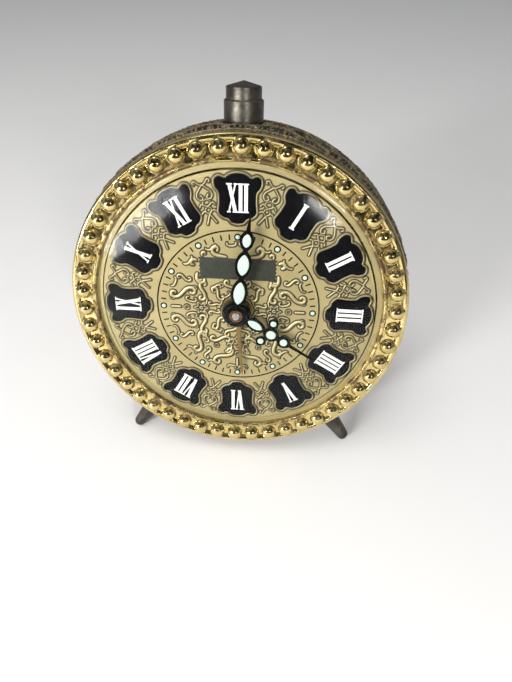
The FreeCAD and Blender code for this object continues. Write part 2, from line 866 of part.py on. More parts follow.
def make_hand(label, place, rear_y, hub, bore, stem, ovals, rounds):
    """Hub, stem and a black frame round every insert, all of one sheet."""
    hand = new_piece(label, place)
    height = size(f"-{rear_y} + hand_thickness")
    border = size("hand_border")
    sketch = new_sketch(hand, "XZ_Plane", height)
    draw_circle(sketch, "0", "0", hub)
    pad(hand, sketch, "hand_thickness")
    pad_outline(hand, height, "hand_thickness", stem)
    for centre, half_length, half_width in ovals:
        frame = lens(centre, half_length + 2 * border, half_width + border)
        pad_outline(hand, height, "hand_thickness", frame)
    for x, z, radius in rounds:
        pad_round(hand, height, "hand_thickness", x, z, radius + border)
    drill(hand, [("0", "0", bore)])
    return hand


def make_lume(label, place, rear_y, ovals, rounds):
    """The luminous inserts, laid on the front of a hand."""
    lume = new_piece(label, place)
    height = size(f"-{rear_y} + hand_thickness") + LUME_THICKNESS
    sketch = new_sketch(lume, "XZ_Plane", height)
    for centre, half_length, half_width in ovals:
        draw_outline(sketch, lens(centre, half_length, half_width))
    for x, z, radius in rounds:
        draw_circle(sketch, x, z, radius)
    pad(lume, sketch, LUME_THICKNESS)


def make_minute_hand():
    """Two oval frames and a leaf frame on one stem, ending in a needle."""
    place = standing(turn=clockwise(size("minute_hand_angle")))
    stem = needle(1.6, 0.7, 19.6, 0.5, size("minute_hand_length"))
    make_hand("minute_hand", place, "minute_hand_y", MINUTE_HUB, "arbor_radius", stem,
              MINUTE_OVALS, [])
    make_lume("minute_hand_lume", place, "minute_hand_y", MINUTE_OVALS, [])


def make_hour_hand():
    """An oval frame, a cross of four round frames and a thin pointer."""
    place = standing(turn=clockwise(size("hour_hand_angle")))
    stem = needle(2.7, 0.5, 14.0, 0.35, size("hour_hand_length"))
    hand = make_hand("hour_hand", place, "hour_hand_y", HOUR_HUB, HOUR_PIPE, stem, HOUR_OVALS,
                     HOUR_ROUNDS)
    arm_reach, arm_z, arm_half = 2.6, 8.5, 0.4
    height = size("-hour_hand_y + hand_thickness")
    pad_outline(hand, height, "hand_thickness", [
        (-arm_reach, arm_z - arm_half),
        (arm_reach, arm_z - arm_half),
        (arm_reach, arm_z + arm_half),
        (-arm_reach, arm_z + arm_half),
    ])
    make_lume("hour_hand_lume", place, "hour_hand_y", HOUR_OVALS, HOUR_ROUNDS)


def make_alarm_hand():
    place = standing(turn=clockwise(size("alarm_hand_angle")))
    body = new_piece("alarm_hand", place)
    height = -size("alarm_hand_y") + size("hand_thickness")
    sketch = new_sketch(body, "XZ_Plane", height)
    draw_outline(sketch, [
        (0.55, 3.55),
        (0.3, "alarm_hand_length - 1.5"),
        (0, "alarm_hand_length"),
        (-0.3, "alarm_hand_length - 1.5"),
        (-0.55, 3.55, 3.5925),
        (0, -3.5925, 3.5925),
    ])
    draw_circle(sketch, "0", "0", "3")
    pad(body, sketch, "hand_thickness")


# ---------------------------------------------------------------------------------------------
# Movement frame
# ---------------------------------------------------------------------------------------------

PILLAR_ANGLES = (48, 132, 228, 312)
MINUTE_STUD_RADIUS = "0.7"


def pillar_places():
    return [polar(size("pillar_circle"), angle) for angle in PILLAR_ANGLES]


def train_pivots():
    return [THIRD, FOURTH, ESCAPE, PALLET, BALANCE, ALARM_ESCAPE, HAMMER]


def make_plates():
    """Front and back plate, bored for every arbor that runs between them."""
    small = "pivot_radius + running_gap"
    large = "arbor_radius + running_gap"
    pivots = [(x, z, small) for x, z in train_pivots()]
    through = [(*CENTRE, large), (*ALARM_SETTING, large)]
    studs = [(x, z, "stud_radius") for x, z in pillar_places()]
    front = cut_plate("front_plate", standing(), "front_plate_y", "plate_thickness",
                      circles=[("0", "0", "plate_radius")])
    front_only = [(*TIME_WINDING, large), (*ALARM_WINDING, large),
                  (*MINUTE_WHEEL, MINUTE_STUD_RADIUS)]
    drill(front, pivots + through + studs + front_only)
    back = cut_plate("back_plate", standing(), "back_plate_y", "plate_thickness",
                     circles=[("0", "0", "plate_radius")])
    winding_hole = "winding_arbor_radius + running_gap"
    back_only = [(*TIME_WINDING, winding_hole), (*ALARM_WINDING, winding_hole)]
    drill(back, pivots + through + studs + back_only)


def make_pillars():
    """Four pillars between the plates, their nuts, and three posts that carry the cover."""
    between = "back_plate_y - front_plate_y - plate_thickness"
    places = pillar_places()
    pillars = new_piece("plate_pillars", standing())
    add_disc(pillars, "front_plate_y - 0.3", "0.3 + plate_thickness",
             [(x, z, "stud_radius") for x, z in places])
    add_disc(pillars, "front_plate_y + plate_thickness", between,
             [(x, z, "pillar_radius") for x, z in places])
    add_disc(pillars, "back_plate_y", "plate_thickness + 1.6",
             [(x, z, "stud_radius") for x, z in places])
    nuts = new_piece("pillar_nuts", standing())
    sketch = new_sketch(nuts, "XZ_Plane", -size("back_plate_y + plate_thickness"))
    for x, z in places:
        corners = [(f"{x} + {column}", f"{z} + {line}") for column, line in hexagon("3.4")]
        draw_outline(sketch, corners)
        draw_circle(sketch, x, z, "stud_radius")
    pad(nuts, sketch, "1.3")
    posts = new_piece("rear_posts", standing())
    post_places = rear_screw_places()
    start = "back_plate_y + plate_thickness"
    add_disc(posts, start, "1", [(x, z, "2") for x, z in post_places])
    sketch = new_sketch(posts, "XZ_Plane", -size(f"{start} + 1"))
    for x, z in post_places:
        draw_circle(sketch, x, z, "2")
        draw_circle(sketch, x, z, "stud_radius")
    pad(posts, sketch, "cover_front_y - back_plate_y - plate_thickness - 1")


# ---------------------------------------------------------------------------------------------
# Motion work under the dial
# ---------------------------------------------------------------------------------------------

# Outer radii of the three pipes that turn inside one another and carry the hands.
CANNON_RADIUS = "1.6"
HOUR_PIPE = "2.35"
ALARM_PIPE = "3"
WASHER_THICKNESS = 0.35
KNOB_FRONT_Y = "21.8"
KNOB_FLOOR_Y = "24.6"
MINUTE_WHEEL_TURN = mesh_turn(0, "cannon_teeth", size("minute_wheel_angle"), "minute_wheel_teeth")
HOUR_WHEEL_TURN = mesh_turn(MINUTE_WHEEL_TURN, "minute_pinion_teeth",
                            size("minute_wheel_angle") + 180, "hour_wheel_teeth")
ALARM_SETTING_TURN = mesh_turn(0, "alarm_wheel_teeth", 270, "alarm_setting_teeth")


def make_centre_arbor():
    """The arbor that carries the minute hand at the front and the time-setting knob behind."""
    hand_front = "minute_hand_y - hand_thickness"
    washer_front = f"{hand_front} - {WASHER_THICKNESS}"
    turned("centre_arbor", steps(
        ("arbor_radius - 0.1", f"{washer_front} - 0.4", f"{washer_front} - 0.1"),
        ("arbor_radius", f"{washer_front} - 0.1", KNOB_FLOOR_Y),
    ), standing())
    turned("hand_washer", sleeve("arbor_radius", ("1.45", washer_front, hand_front)), standing())
    leaf_y, leaf_end_y = 3.0, 4.4
    cannon = turned("cannon_pinion", sleeve(
        "arbor_radius",
        (CANNON_RADIUS, "minute_hand_y", f"{leaf_y}"),
        (tip_radius("power_module", "cannon_teeth", LEAF_TOOTH), f"{leaf_y}", f"{leaf_end_y}"),
    ), standing())
    cut_teeth(cannon, "power_module", "cannon_teeth", LEAF_TOOTH, leaf_y, leaf_end_y - leaf_y)


def make_minute_wheel():
    """The wheel and pinion that carry the minute hand's turn to the hour wheel."""
    x, z = MINUTE_WHEEL
    leaf_y, wheel_y = 1.7, 3.3
    leaf_end_y = f"{leaf_y} + leaf_width"
    wheel = turned("minute_wheel", sleeve(
        f"{MINUTE_STUD_RADIUS} + running_gap",
        (tip_radius("train_module", "minute_pinion_teeth", LEAF_TOOTH), f"{leaf_y}", leaf_end_y),
        ("1.4", leaf_end_y, f"{wheel_y}"),
        (tip_radius("power_module", "minute_wheel_teeth", WHEEL_TOOTH), f"{wheel_y}",
         f"{wheel_y} + wheel_thickness"),
    ), standing(x, z, clockwise(MINUTE_WHEEL_TURN)))
    cut_teeth(wheel, "power_module", "minute_wheel_teeth", WHEEL_TOOTH, wheel_y,
              "wheel_thickness")
    cut_teeth(wheel, "train_module", "minute_pinion_teeth", LEAF_TOOTH, leaf_y, "leaf_width")
    turned("minute_wheel_stud",
           steps((MINUTE_STUD_RADIUS, "1.6", "front_plate_y + plate_thickness")), standing(x, z))


def make_hour_wheel():
    """The wheel whose pipe carries the hour hand, running on the cannon pinion."""
    wheel_y = "1.95"
    wheel = turned("hour_wheel", sleeve(
        f"{CANNON_RADIUS} + running_gap",
        (HOUR_PIPE, "hour_hand_y - hand_thickness", wheel_y),
        (tip_radius("train_module", "hour_wheel_teeth", WHEEL_TOOTH), wheel_y,
         f"{wheel_y} + wheel_thickness"),
    ), standing(turn=clockwise(HOUR_WHEEL_TURN)))
    cut_teeth(wheel, "train_module", "hour_wheel_teeth", WHEEL_TOOTH, wheel_y, "wheel_thickness")


def make_alarm_setting():
    """The alarm hand's wheel, and the arbor and pinion that turn it from behind the clock."""
    wheel_y, wheel_end_y = 0.9, 1.4
    wheel = turned("alarm_wheel", sleeve(
        f"{HOUR_PIPE} + running_gap",
        (ALARM_PIPE, "alarm_hand_y - hand_thickness", f"{wheel_y}"),
        (tip_radius("train_module", "alarm_wheel_teeth", WHEEL_TOOTH), f"{wheel_y}",
         f"{wheel_end_y}"),
    ), standing())
    cut_teeth(wheel, "train_module", "alarm_wheel_teeth", WHEEL_TOOTH, wheel_y,
              wheel_end_y - wheel_y)
    cross_out(wheel, 4.2, 6.6, 3, 1.4)
    x, z = ALARM_SETTING
    leaf_y, leaf_end_y = 0.7, 1.6
    arbor = turned("alarm_setting_arbor", steps(
        (tip_radius("train_module", "alarm_setting_teeth", LEAF_TOOTH), f"{leaf_y}",
         f"{leaf_end_y}"),
        ("arbor_radius", f"{leaf_end_y}", KNOB_FLOOR_Y),
    ), standing(x, z, clockwise(ALARM_SETTING_TURN)))
    cut_teeth(arbor, "train_module", "alarm_setting_teeth", LEAF_TOOTH, leaf_y,
              leaf_end_y - leaf_y)


def make_knob(label, radius, place):
    """A grooved knob with a slightly hollow face, pressed on an arbor."""
    knob = turned(label, [
        ("arbor_radius", KNOB_FRONT_Y),
        (f"{radius} - 0.6", KNOB_FRONT_Y),
        (radius, "22.4"),
        (radius, "25.6"),
        (f"{radius} - 0.6", "26.2"),
        (f"{radius} - 1.2", "25.8"),
        ("0", "25.8"),
        ("0", KNOB_FLOOR_Y),
        ("arbor_radius", KNOB_FLOOR_Y),
    ], place)
    grooves = 24
    groove_radius = "0.4"
    groove_offset = "0.15"
    sketch = new_sketch(knob, "XZ_Plane")
    draw_circle(sketch, "0", f"{radius} + {groove_offset}", groove_radius)
    groove = pocket_through(knob, sketch)
    repeat_round(knob, [groove], grooves)


def make_knobs():
    make_knob("time_set_knob", "4.8", standing())
    make_knob("alarm_set_knob", "4.2", standing(*ALARM_SETTING, clockwise(ALARM_SETTING_TURN)))


# ---------------------------------------------------------------------------------------------
# Going train
# ---------------------------------------------------------------------------------------------

# Every arbor's shoulders stop short of the plates by the end shake.
FRONT_SHOULDER_Y = "front_plate_y + plate_thickness + end_shake"
REAR_SHOULDER_Y = "back_plate_y - end_shake"
# How far back each wheel stands, so that no wheel touches its neighbours' arbors.
GREAT_Y = 6.4
GREAT_THICKNESS = 1.0
CENTRE_WHEEL_Y = 13.0
THIRD_WHEEL_Y = 14.4
FOURTH_WHEEL_Y = 9.0
ESCAPE_WHEEL_Y = 12.4
ALARM_ESCAPE_WHEEL_Y = 13.2
GREAT_TURN = mesh_turn(0, "centre_leaves", size("winding_angle"), "great_teeth")
THIRD_TURN = mesh_turn(0, "centre_teeth", size("third_angle"), "third_leaves")
FOURTH_TURN = mesh_turn(THIRD_TURN, "third_teeth", size("fourth_angle"), "fourth_leaves")
ESCAPE_TURN = mesh_turn(FOURTH_TURN, "fourth_teeth", size("escape_angle"), "escape_leaves")
ALARM_ESCAPE_TURN = mesh_turn(0, "alarm_great_teeth", size("alarm_escape_angle"),
                              "alarm_escape_leaves")


def pivoted(pivot, *lengths):
    """Return the outline of an arbor whose thin pivots turn in the front and the back plate."""
    return steps(
        (pivot, "front_plate_y", FRONT_SHOULDER_Y),
        *lengths,
        (pivot, REAR_SHOULDER_Y, "back_plate_y + plate_thickness"))


def train_wheel(label, place, teeth, wheel_y, leaves, leaf_y):
    """A wheel and a pinion on one arbor that pivots in both plates."""
    rim_width = 1.3
    hub_radius = 2.2
    arms = 4
    arm_width = 1.1
    wheel_lengths = (tip_radius("train_module", teeth, WHEEL_TOOTH), f"{wheel_y}",
                     f"{wheel_y} + wheel_thickness")
    leaf_lengths = (tip_radius("train_module", leaves, LEAF_TOOTH), f"{leaf_y}",
                    f"{leaf_y} + leaf_width")
    first, second = sorted((wheel_lengths, leaf_lengths), key=lambda part: size(part[1]))
    piece = turned(label, pivoted(
        "pivot_radius",
        ("shaft_radius", FRONT_SHOULDER_Y, first[1]),
        first,
        ("shaft_radius", first[2], second[1]),
        second,
        ("shaft_radius", second[2], REAR_SHOULDER_Y),
    ), place)
    cut_teeth(piece, "train_module", teeth, WHEEL_TOOTH, wheel_y, "wheel_thickness")
    cut_teeth(piece, "train_module", leaves, LEAF_TOOTH, leaf_y, "leaf_width")
    cross_out(piece, hub_radius, size(f"train_module * {teeth} / 2") - rim_width, arms, arm_width)


def make_centre_wheel():
    """The wheel that turns once an hour, on a sleeve that runs freely on the centre arbor."""
    leaf_y, leaf_end_y = 6.1, 7.7
    sleeve_radius = "1.4"
    wheel_end_y = f"{CENTRE_WHEEL_Y} + wheel_thickness"
    centre = turned("centre_wheel", sleeve(
        "arbor_radius + running_gap",
        (tip_radius("power_module", "centre_leaves", LEAF_TOOTH), f"{leaf_y}", f"{leaf_end_y}"),
        (sleeve_radius, f"{leaf_end_y}", f"{CENTRE_WHEEL_Y}"),
        (tip_radius("train_module", "centre_teeth", WHEEL_TOOTH), f"{CENTRE_WHEEL_Y}",
         wheel_end_y),
        (sleeve_radius, wheel_end_y, REAR_SHOULDER_Y),
    ), standing())
    cut_teeth(centre, "power_module", "centre_leaves", LEAF_TOOTH, leaf_y, leaf_end_y - leaf_y)
    cut_teeth(centre, "train_module", "centre_teeth", WHEEL_TOOTH, CENTRE_WHEEL_Y,
              "wheel_thickness")
    cross_out(centre, 2.6, 7.5, 4, 1.2)


def make_going_train():
    make_centre_wheel()
    train_wheel("third_wheel", standing(*THIRD, clockwise(THIRD_TURN)),
                "third_teeth", THIRD_WHEEL_Y, "third_leaves", CENTRE_WHEEL_Y - 0.3)
    train_wheel("fourth_wheel", standing(*FOURTH, clockwise(FOURTH_TURN)),
                "fourth_teeth", FOURTH_WHEEL_Y, "fourth_leaves", THIRD_WHEEL_Y - 0.3)
    make_escape_wheel("escape_wheel", standing(*ESCAPE, clockwise(ESCAPE_TURN)), "escape_teeth",
                      4.6, ESCAPE_WHEEL_Y, "train_module", "escape_leaves", FOURTH_WHEEL_Y - 0.3)


def make_escape_wheel(label, place, teeth, radius, wheel_y, module, leaves, leaf_y):
    """A saw-toothed wheel and its pinion on one arbor."""
    leaf_end_y = f"{leaf_y} + leaf_width"
    wheel_end_y = f"{wheel_y} + escape_thickness"
    wheel = turned(label, pivoted(
        "pivot_radius",
        ("shaft_radius", FRONT_SHOULDER_Y, f"{leaf_y}"),
        (tip_radius(module, leaves, LEAF_TOOTH), f"{leaf_y}", leaf_end_y),
        ("shaft_radius", leaf_end_y, f"{wheel_y}"),
        (f"{radius}", f"{wheel_y}", wheel_end_y),
        ("shaft_radius", wheel_end_y, REAR_SHOULDER_Y),
    ), place)
    cut_teeth(wheel, module, leaves, LEAF_TOOTH, leaf_y, "leaf_width")
    cut_saw_teeth(wheel, teeth, radius, wheel_y, "escape_thickness", root=0.76, undercut=0.1,
                  land=0.8)


def make_great_wheel(label, place, teeth, arbor_place, spring_radius):
    """A spring-driven great wheel, its winding arbor, its mainspring and its key."""
    wheel_end_y = f"{GREAT_Y} + {GREAT_THICKNESS}"
    wheel = turned(f"{label}_great_wheel", sleeve(
        "winding_arbor_radius + running_gap",
        ("2.6", FRONT_SHOULDER_Y, f"{GREAT_Y}"),
        (tip_radius("power_module", teeth, WHEEL_TOOTH), f"{GREAT_Y}", wheel_end_y),
    ), place)
    cut_teeth(wheel, "power_module", teeth, WHEEL_TOOTH, GREAT_Y, GREAT_THICKNESS)
    cross_out(wheel, 4.6, size(f"power_module * {teeth} / 2") - 2.0, 4, 1.8)
    turned(f"{label}_winding_arbor", steps(
        ("arbor_radius", "front_plate_y", "front_plate_y + plate_thickness"),
        ("winding_arbor_radius", "front_plate_y + plate_thickness", KEY_FLOOR_Y),
    ), arbor_place)
    make_ratchet_wheel(f"{label}_ratchet_wheel", arbor_place, f"{wheel_end_y} + end_shake")
    spring = spiral_band(outer=spring_radius, **MAINSPRING)
    add_spring(f"{label}_mainspring", spring, arbor_place)
    make_key(f"{label}_key", arbor_place)


def make_ratchet_wheel(label, place, start_y):
    """The saw-toothed wheel that turns with the winding arbor."""
    radius = 3.4
    teeth = 24
    ratchet = turned(label, sleeve(
        "winding_arbor_radius",
        (f"{radius}", start_y, f"{start_y} + escape_thickness"),
    ), place)
    cut_saw_teeth(ratchet, teeth, radius, start_y, "escape_thickness", root=0.86)


# Flat coiled springs: first and last turn's radius, strip thickness, place and strip width.
MAINSPRING = {"inner": 1.3, "turns": 7, "thickness": 0.3, "start_y": 8.3, "width": 4.0}
HAIRSPRING = {"inner": 0.85, "turns": 8, "thickness": 0.12, "start_y": 15.0, "width": 0.5}
TIME_SPRING_RADIUS = 9.4
ALARM_SPRING_RADIUS = 8.6
HAIRSPRING_RADIUS = 3.6


def spiral_band(inner, outer, turns, thickness, start_y, width):
    """A flat spring coiled in a spiral: two offset spirals closed by their ends."""
    points_per_turn = 12
    count = turns * points_per_turn

    def spiral_point(index, offset):
        share = index / count
        angle = share * turns * math.tau
        radius = inner + (outer - inner) * share + offset
        return Vector(radius * math.cos(angle), start_y, radius * math.sin(angle))

    inside = Part.BSplineCurve()
    inside.interpolate([spiral_point(index, 0) for index in range(count + 1)])
    outside = Part.BSplineCurve()
    outside.interpolate([spiral_point(index, thickness) for index in range(count + 1)])
    ends = [Part.makeLine(inside.StartPoint, outside.StartPoint),
            Part.makeLine(inside.EndPoint, outside.EndPoint)]
    wire = Part.Wire(Part.__sortEdges__([inside.toShape(), outside.toShape(), *ends]))
    return Part.Face(wire).extrude(Vector(0, width, 0))


KEY_FLOOR_Y = "25"


def make_key(label, place):
    """A two-lobed winding key with a round socket."""
    socket_radius = "2.1"
    socket_end_y = "25.6"
    lobe_curve = "3.32"
    key = turned(label, [
        ("winding_arbor_radius", KNOB_FRONT_Y),
        (socket_radius, KNOB_FRONT_Y),
        (socket_radius, socket_end_y),
        ("0", socket_end_y),
        ("0", KEY_FLOOR_Y),
        ("winding_arbor_radius", KEY_FLOOR_Y),
    ], place)
    sketch = new_sketch(key, "XY_Plane")
    draw_outline(sketch, [
        ("-4.4", "31.2", lobe_curve),
        ("-4.4", "24.6"),
        (f"-{socket_radius}", socket_end_y),
        (socket_radius, socket_end_y),
        ("4.4", "24.6", lobe_curve),
        ("4.4", "31.2"),
        ("0", "29.6"),
    ])
    wing = key.newObject("PartDesign::Pad", key.Name + "Wing")
    wing.Profile = sketch
    wing.Length = 1.6
    wing.Midplane = True
    doc.recompute()


# ---------------------------------------------------------------------------------------------
# Escapement and alarm
# ---------------------------------------------------------------------------------------------

def bearing(start, finish):
    """Return the angle of one place seen from another, anticlockwise from three."""
    return math.degrees(math.atan2(finish[1] - start[1], finish[0] - start[0]))


def pallet_arbor():
    """Return the outline of the thin arbor under the pallets, stepped down to finer pivots."""
    return pivoted("pivot_radius - 0.1", ("pivot_radius", FRONT_SHOULDER_Y, REAR_SHOULDER_Y))


def make_pallet_fork():
    """An arbor with two pallet arms towards the escape wheel and a fork towards the balance."""
    to_escape = bearing(PALLET, ESCAPE)
    to_balance = bearing(PALLET, BALANCE)
    fork = turned("pallet_fork", pallet_arbor(), standing(*PALLET))
    sketch = new_sketch(fork, "XZ_Plane", -ESCAPE_WHEEL_Y)
    # Walk round the two pallets, then out along the fork, round its notch and back.
    draw_outline(sketch, [
        polar(3.2, to_escape - 62),
        polar(1.2, to_escape),
        polar(3.2, to_escape + 62),
        polar(3.4, to_escape + 74),
        polar(0.9, to_balance - 60),
        polar(4.9, to_balance - 9),
        polar(4.2, to_balance),
        polar(4.9, to_balance + 9),
        polar(0.9, to_balance + 60),
        polar(3.4, to_escape - 74),
    ])
    pad(fork, sketch, "escape_thickness")


def make_balance():
    """Balance wheel with its staff and roller, and the flat hairspring behind it."""
    rim_y = "13.9"
    rim_end_y = f"{rim_y} + 0.8"
    roller_y = "12.2"
    roller_end_y = f"{roller_y} + 1"
    balance = turned("balance_wheel", pivoted(
        "0.3",
        ("0.5", FRONT_SHOULDER_Y, roller_y),
        ("1.0", roller_y, roller_end_y),
        ("0.5", roller_end_y, rim_y),
        ("5.7", rim_y, rim_end_y),
        ("0.8", rim_end_y, REAR_SHOULDER_Y),
    ), standing(*BALANCE))
    cross_out(balance, 1.5, 4.8, 3, 0.9)
    add_spring("hairspring", spiral_band(outer=HAIRSPRING_RADIUS, **HAIRSPRING),
               standing(*BALANCE))


def make_regulator():
    """A lever on the balance's axis behind the back plate, with a pin out through the cover."""
    front_y = "back_plate_y + plate_thickness"
    rear_y = f"{front_y} + 0.6"
    pin_end_y = "22.4"
    lever = turned("regulator_lever", sleeve("1.2", ("2.4", front_y, rear_y)), standing(*BALANCE))
    sketch = new_sketch(lever, "XZ_Plane", -size(front_y))
    draw_outline(sketch, [
        (-0.9, 2.0),
        (0.9, 2.0),
        (0.7, REGULATOR_REACH, 0.71),
        (-0.7, REGULATOR_REACH),
    ])
    pad(lever, sketch, "0.6")
    add_disc(lever, rear_y, f"{pin_end_y} - ({rear_y})", [(0, REGULATOR_REACH, "0.6")])


def make_alarm_train():
    make_escape_wheel("alarm_escape_wheel",
                      standing(*ALARM_ESCAPE, clockwise(ALARM_ESCAPE_TURN)), "escape_teeth",
                      3.4, ALARM_ESCAPE_WHEEL_Y, "power_module", "alarm_escape_leaves",
                      GREAT_Y - 0.1)
    make_hammer()


HAMMER_HEAD = (6.4, 31.6)


def make_hammer():
    """Pallet arbor of the alarm, with an arm that carries the hammer head to the drum wall."""
    to_head = bearing(HAMMER, HAMMER_HEAD)
    reach = math.dist(HAMMER, HAMMER_HEAD)
    to_wheel = bearing(HAMMER, ALARM_ESCAPE)
    hammer = turned("alarm_hammer", pallet_arbor(), standing(*HAMMER))
    arm_y = 10.7
    hub_radius = 1.1
    corner_turn = 75
    tip_turn = 1.2
    sketch = new_sketch(hammer, "XZ_Plane", -arm_y)
    draw_outline(sketch, [
        polar(hub_radius, to_head + 180 - corner_turn),
        polar(hub_radius, to_head - corner_turn),
        polar(reach, to_head - tip_turn),
        polar(reach, to_head + tip_turn),
        polar(hub_radius, to_head + corner_turn),
        polar(hub_radius, to_head + 180 + corner_turn),
    ])
    pad(hammer, sketch, "0.8")
    head = (HAMMER_HEAD[0] - HAMMER[0], HAMMER_HEAD[1] - HAMMER[1])
    add_disc(hammer, "9.1", "4", [(*head, "1.9")])
    sketch = new_sketch(hammer, "XZ_Plane", -ALARM_ESCAPE_WHEEL_Y)
    draw_outline(sketch, [
        polar(2.4, to_wheel + 64),
        polar(0.9, to_wheel),
        polar(2.4, to_wheel - 64),
        polar(2.6, to_wheel - 78),
        polar(0.8, to_wheel + 180),
        polar(2.6, to_wheel + 78),
    ])
    pad(hammer, sketch, "escape_thickness")


# ---------------------------------------------------------------------------------------------
# Build, check and write
# ---------------------------------------------------------------------------------------------

def build_clock():
    make_bezel()
    make_crystal()
    make_glass_ring()
    make_dial_plate()
    make_case_drum()
    make_filigree_band()
    make_rear_cover()
    make_rear_screws()
    make_feet()
    make_foot_nuts()
    make_stop_button()
    make_button_spring()
    make_minute_hand()
    make_hour_hand()
    make_alarm_hand()
    make_plates()
    make_pillars()
    make_centre_arbor()
    make_minute_wheel()
    make_hour_wheel()
    make_alarm_setting()
    make_knobs()
    make_going_train()
    make_great_wheel("time", standing(*TIME_WINDING, clockwise(GREAT_TURN)), "great_teeth",
                     standing(*TIME_WINDING), TIME_SPRING_RADIUS)
    make_great_wheel("alarm", standing(*ALARM_WINDING), "alarm_great_teeth",
                     standing(*ALARM_WINDING), ALARM_SPRING_RADIUS)
    make_pallet_fork()
    make_balance()
    make_regulator()
    make_alarm_train()


def sub_parts():
    return [item for item in doc.Objects
            if item.isDerivedFrom("PartDesign::Body") or item.TypeId == "Part::Feature"]


def check_document():
    for item in doc.Objects:
        if "Invalid" in item.State or "Error" in item.State:
            raise RuntimeError(f"{item.Label} did not compute")
    for piece in sub_parts():
        if piece.Shape.isNull() or not piece.Shape.isValid():
            raise RuntimeError(f"{piece.Label} has no sound shape")


build_clock()
doc.removeObject(scratch.Name)
doc.recompute()
check_document()
os.makedirs("parts", exist_ok=True)
for piece in sub_parts():
    piece.Shape.exportStep(f"parts/{piece.Label}.step")
print("pieces:", len(sub_parts()), "lean:", round(LEAN, 3), "table:", round(TABLE_DROP, 3))
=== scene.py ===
"""Looks of the travel alarm clock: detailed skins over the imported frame, materials and studio."""
import bmesh
import bpy
import json
import math
import numpy as np
from mathutils import Matrix, Quaternion, Vector, noise


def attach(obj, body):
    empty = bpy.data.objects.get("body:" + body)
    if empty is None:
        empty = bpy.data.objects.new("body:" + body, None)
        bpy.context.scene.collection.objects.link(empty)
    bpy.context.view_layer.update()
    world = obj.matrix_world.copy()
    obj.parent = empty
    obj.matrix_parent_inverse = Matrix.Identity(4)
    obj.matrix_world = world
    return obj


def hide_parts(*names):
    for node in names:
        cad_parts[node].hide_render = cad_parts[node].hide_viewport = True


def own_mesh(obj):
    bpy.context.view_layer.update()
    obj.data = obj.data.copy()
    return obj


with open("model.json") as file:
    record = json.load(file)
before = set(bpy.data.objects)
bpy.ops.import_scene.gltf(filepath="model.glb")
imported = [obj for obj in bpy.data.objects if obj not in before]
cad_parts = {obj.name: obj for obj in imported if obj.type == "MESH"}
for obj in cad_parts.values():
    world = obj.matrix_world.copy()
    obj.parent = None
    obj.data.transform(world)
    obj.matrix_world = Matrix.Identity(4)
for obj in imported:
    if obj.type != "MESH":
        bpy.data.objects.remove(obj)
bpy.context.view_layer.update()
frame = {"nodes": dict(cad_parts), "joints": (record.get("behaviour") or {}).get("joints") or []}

MM = 0.001
TAU = math.tau

# ---------------------------------------------------------------------------------------------
# The clock's own axes: x to three o'clock, y from the dial to the rear cover, z to twelve.
# ---------------------------------------------------------------------------------------------

JOINTS = {joint["name"]: joint for joint in frame["joints"]}
DIAL_CENTRE = Vector(JOINTS["minute_hand_turn"]["pos_m"])
REARWARD = Vector(JOINTS["minute_hand_turn"]["axis"]).normalized()
ACROSS = Vector((1, 0, 0))
UPWARD = ACROSS.cross(REARWARD)


def clock_matrix():
    """Return the matrix from millimetres on the clock's axes to the frame's metres."""
    turn = Matrix((ACROSS, REARWARD, UPWARD)).transposed().to_4x4()
    return Matrix.Translation(DIAL_CENTRE) @ turn @ Matrix.Scale(MM, 4)


CLOCK = clock_matrix()
TO_CLOCK = CLOCK.inverted()


def turned_clockwise(degrees):
    """Return a turn on the clock's axes, clockwise as seen from the front."""
    return Matrix.Rotation(math.radians(degrees), 4, (0, 1, 0))


def arbor_place(joint_name):
    """Return the (x, z) of a joint's axis on the clock's axes."""
    place = TO_CLOCK @ Vector(JOINTS[joint_name]["pos_m"])
    return place.x, place.z


# ---------------------------------------------------------------------------------------------
# Mesh building
# ---------------------------------------------------------------------------------------------

def add_piece(name, verts, faces, body, material, smooth=True, local=None):
    """Make a mesh given in millimetres on the clock's axes, and let it ride on a body."""
    place = CLOCK @ local if local is not None else CLOCK
    mesh = bpy.data.meshes.new(name)
    mesh.from_pydata([place @ Vector(vert) for vert in verts], [], faces)
    mesh.validate()
    mesh.update()
    piece = bpy.data.objects.new(name, mesh)
    bpy.context.scene.collection.objects.link(piece)
    mesh.materials.append(material)
    mesh.shade_smooth() if smooth else mesh.shade_flat()
    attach(piece, body)
    return piece


def set_mask(piece, name, values):
    """Store one number per vertex for the material to read."""
    layer = piece.data.attributes.new(name, "FLOAT", "POINT")
    layer.data.foreach_set("value", values)


def sharpen(piece, degrees=35):
    """Keep edges sharper than an angle crisp while the rest is smooth."""
    piece.data.set_sharp_from_angle(angle=math.radians(degrees))


class Sheet:
    """Collects vertices and faces of one piece."""

    def __init__(self):
        self.verts = []
        self.faces = []

    def add_grid(self, rows, close_rows=False, close_columns=False):
        """Add a grid of points given as rows, wrapping round where asked."""
        start = len(self.verts)
        width = len(rows[0])
        for row in rows:
            self.verts.extend(row)
        row_count = len(rows) if close_rows else len(rows) - 1
        column_count = width if close_columns else width - 1
        for row in range(row_count):
            below = (row + 1) % len(rows)
            for column in range(column_count):
                side = (column + 1) % width
                self.faces.append((start + row * width + column, start + row * width + side,
                                   start + below * width + side, start + below * width + column))

    def add_fan(self, ring, tip, flip=False):
        """Close a ring of points to one tip."""
        start = len(self.verts)
        self.verts.extend(ring)
        self.verts.append(tip)
        centre = len(self.verts) - 1
        for index in range(len(ring)):
            following = (index + 1) % len(ring)
            face = (start + index, start + following, centre)
            self.faces.append(face[::-1] if flip else face)


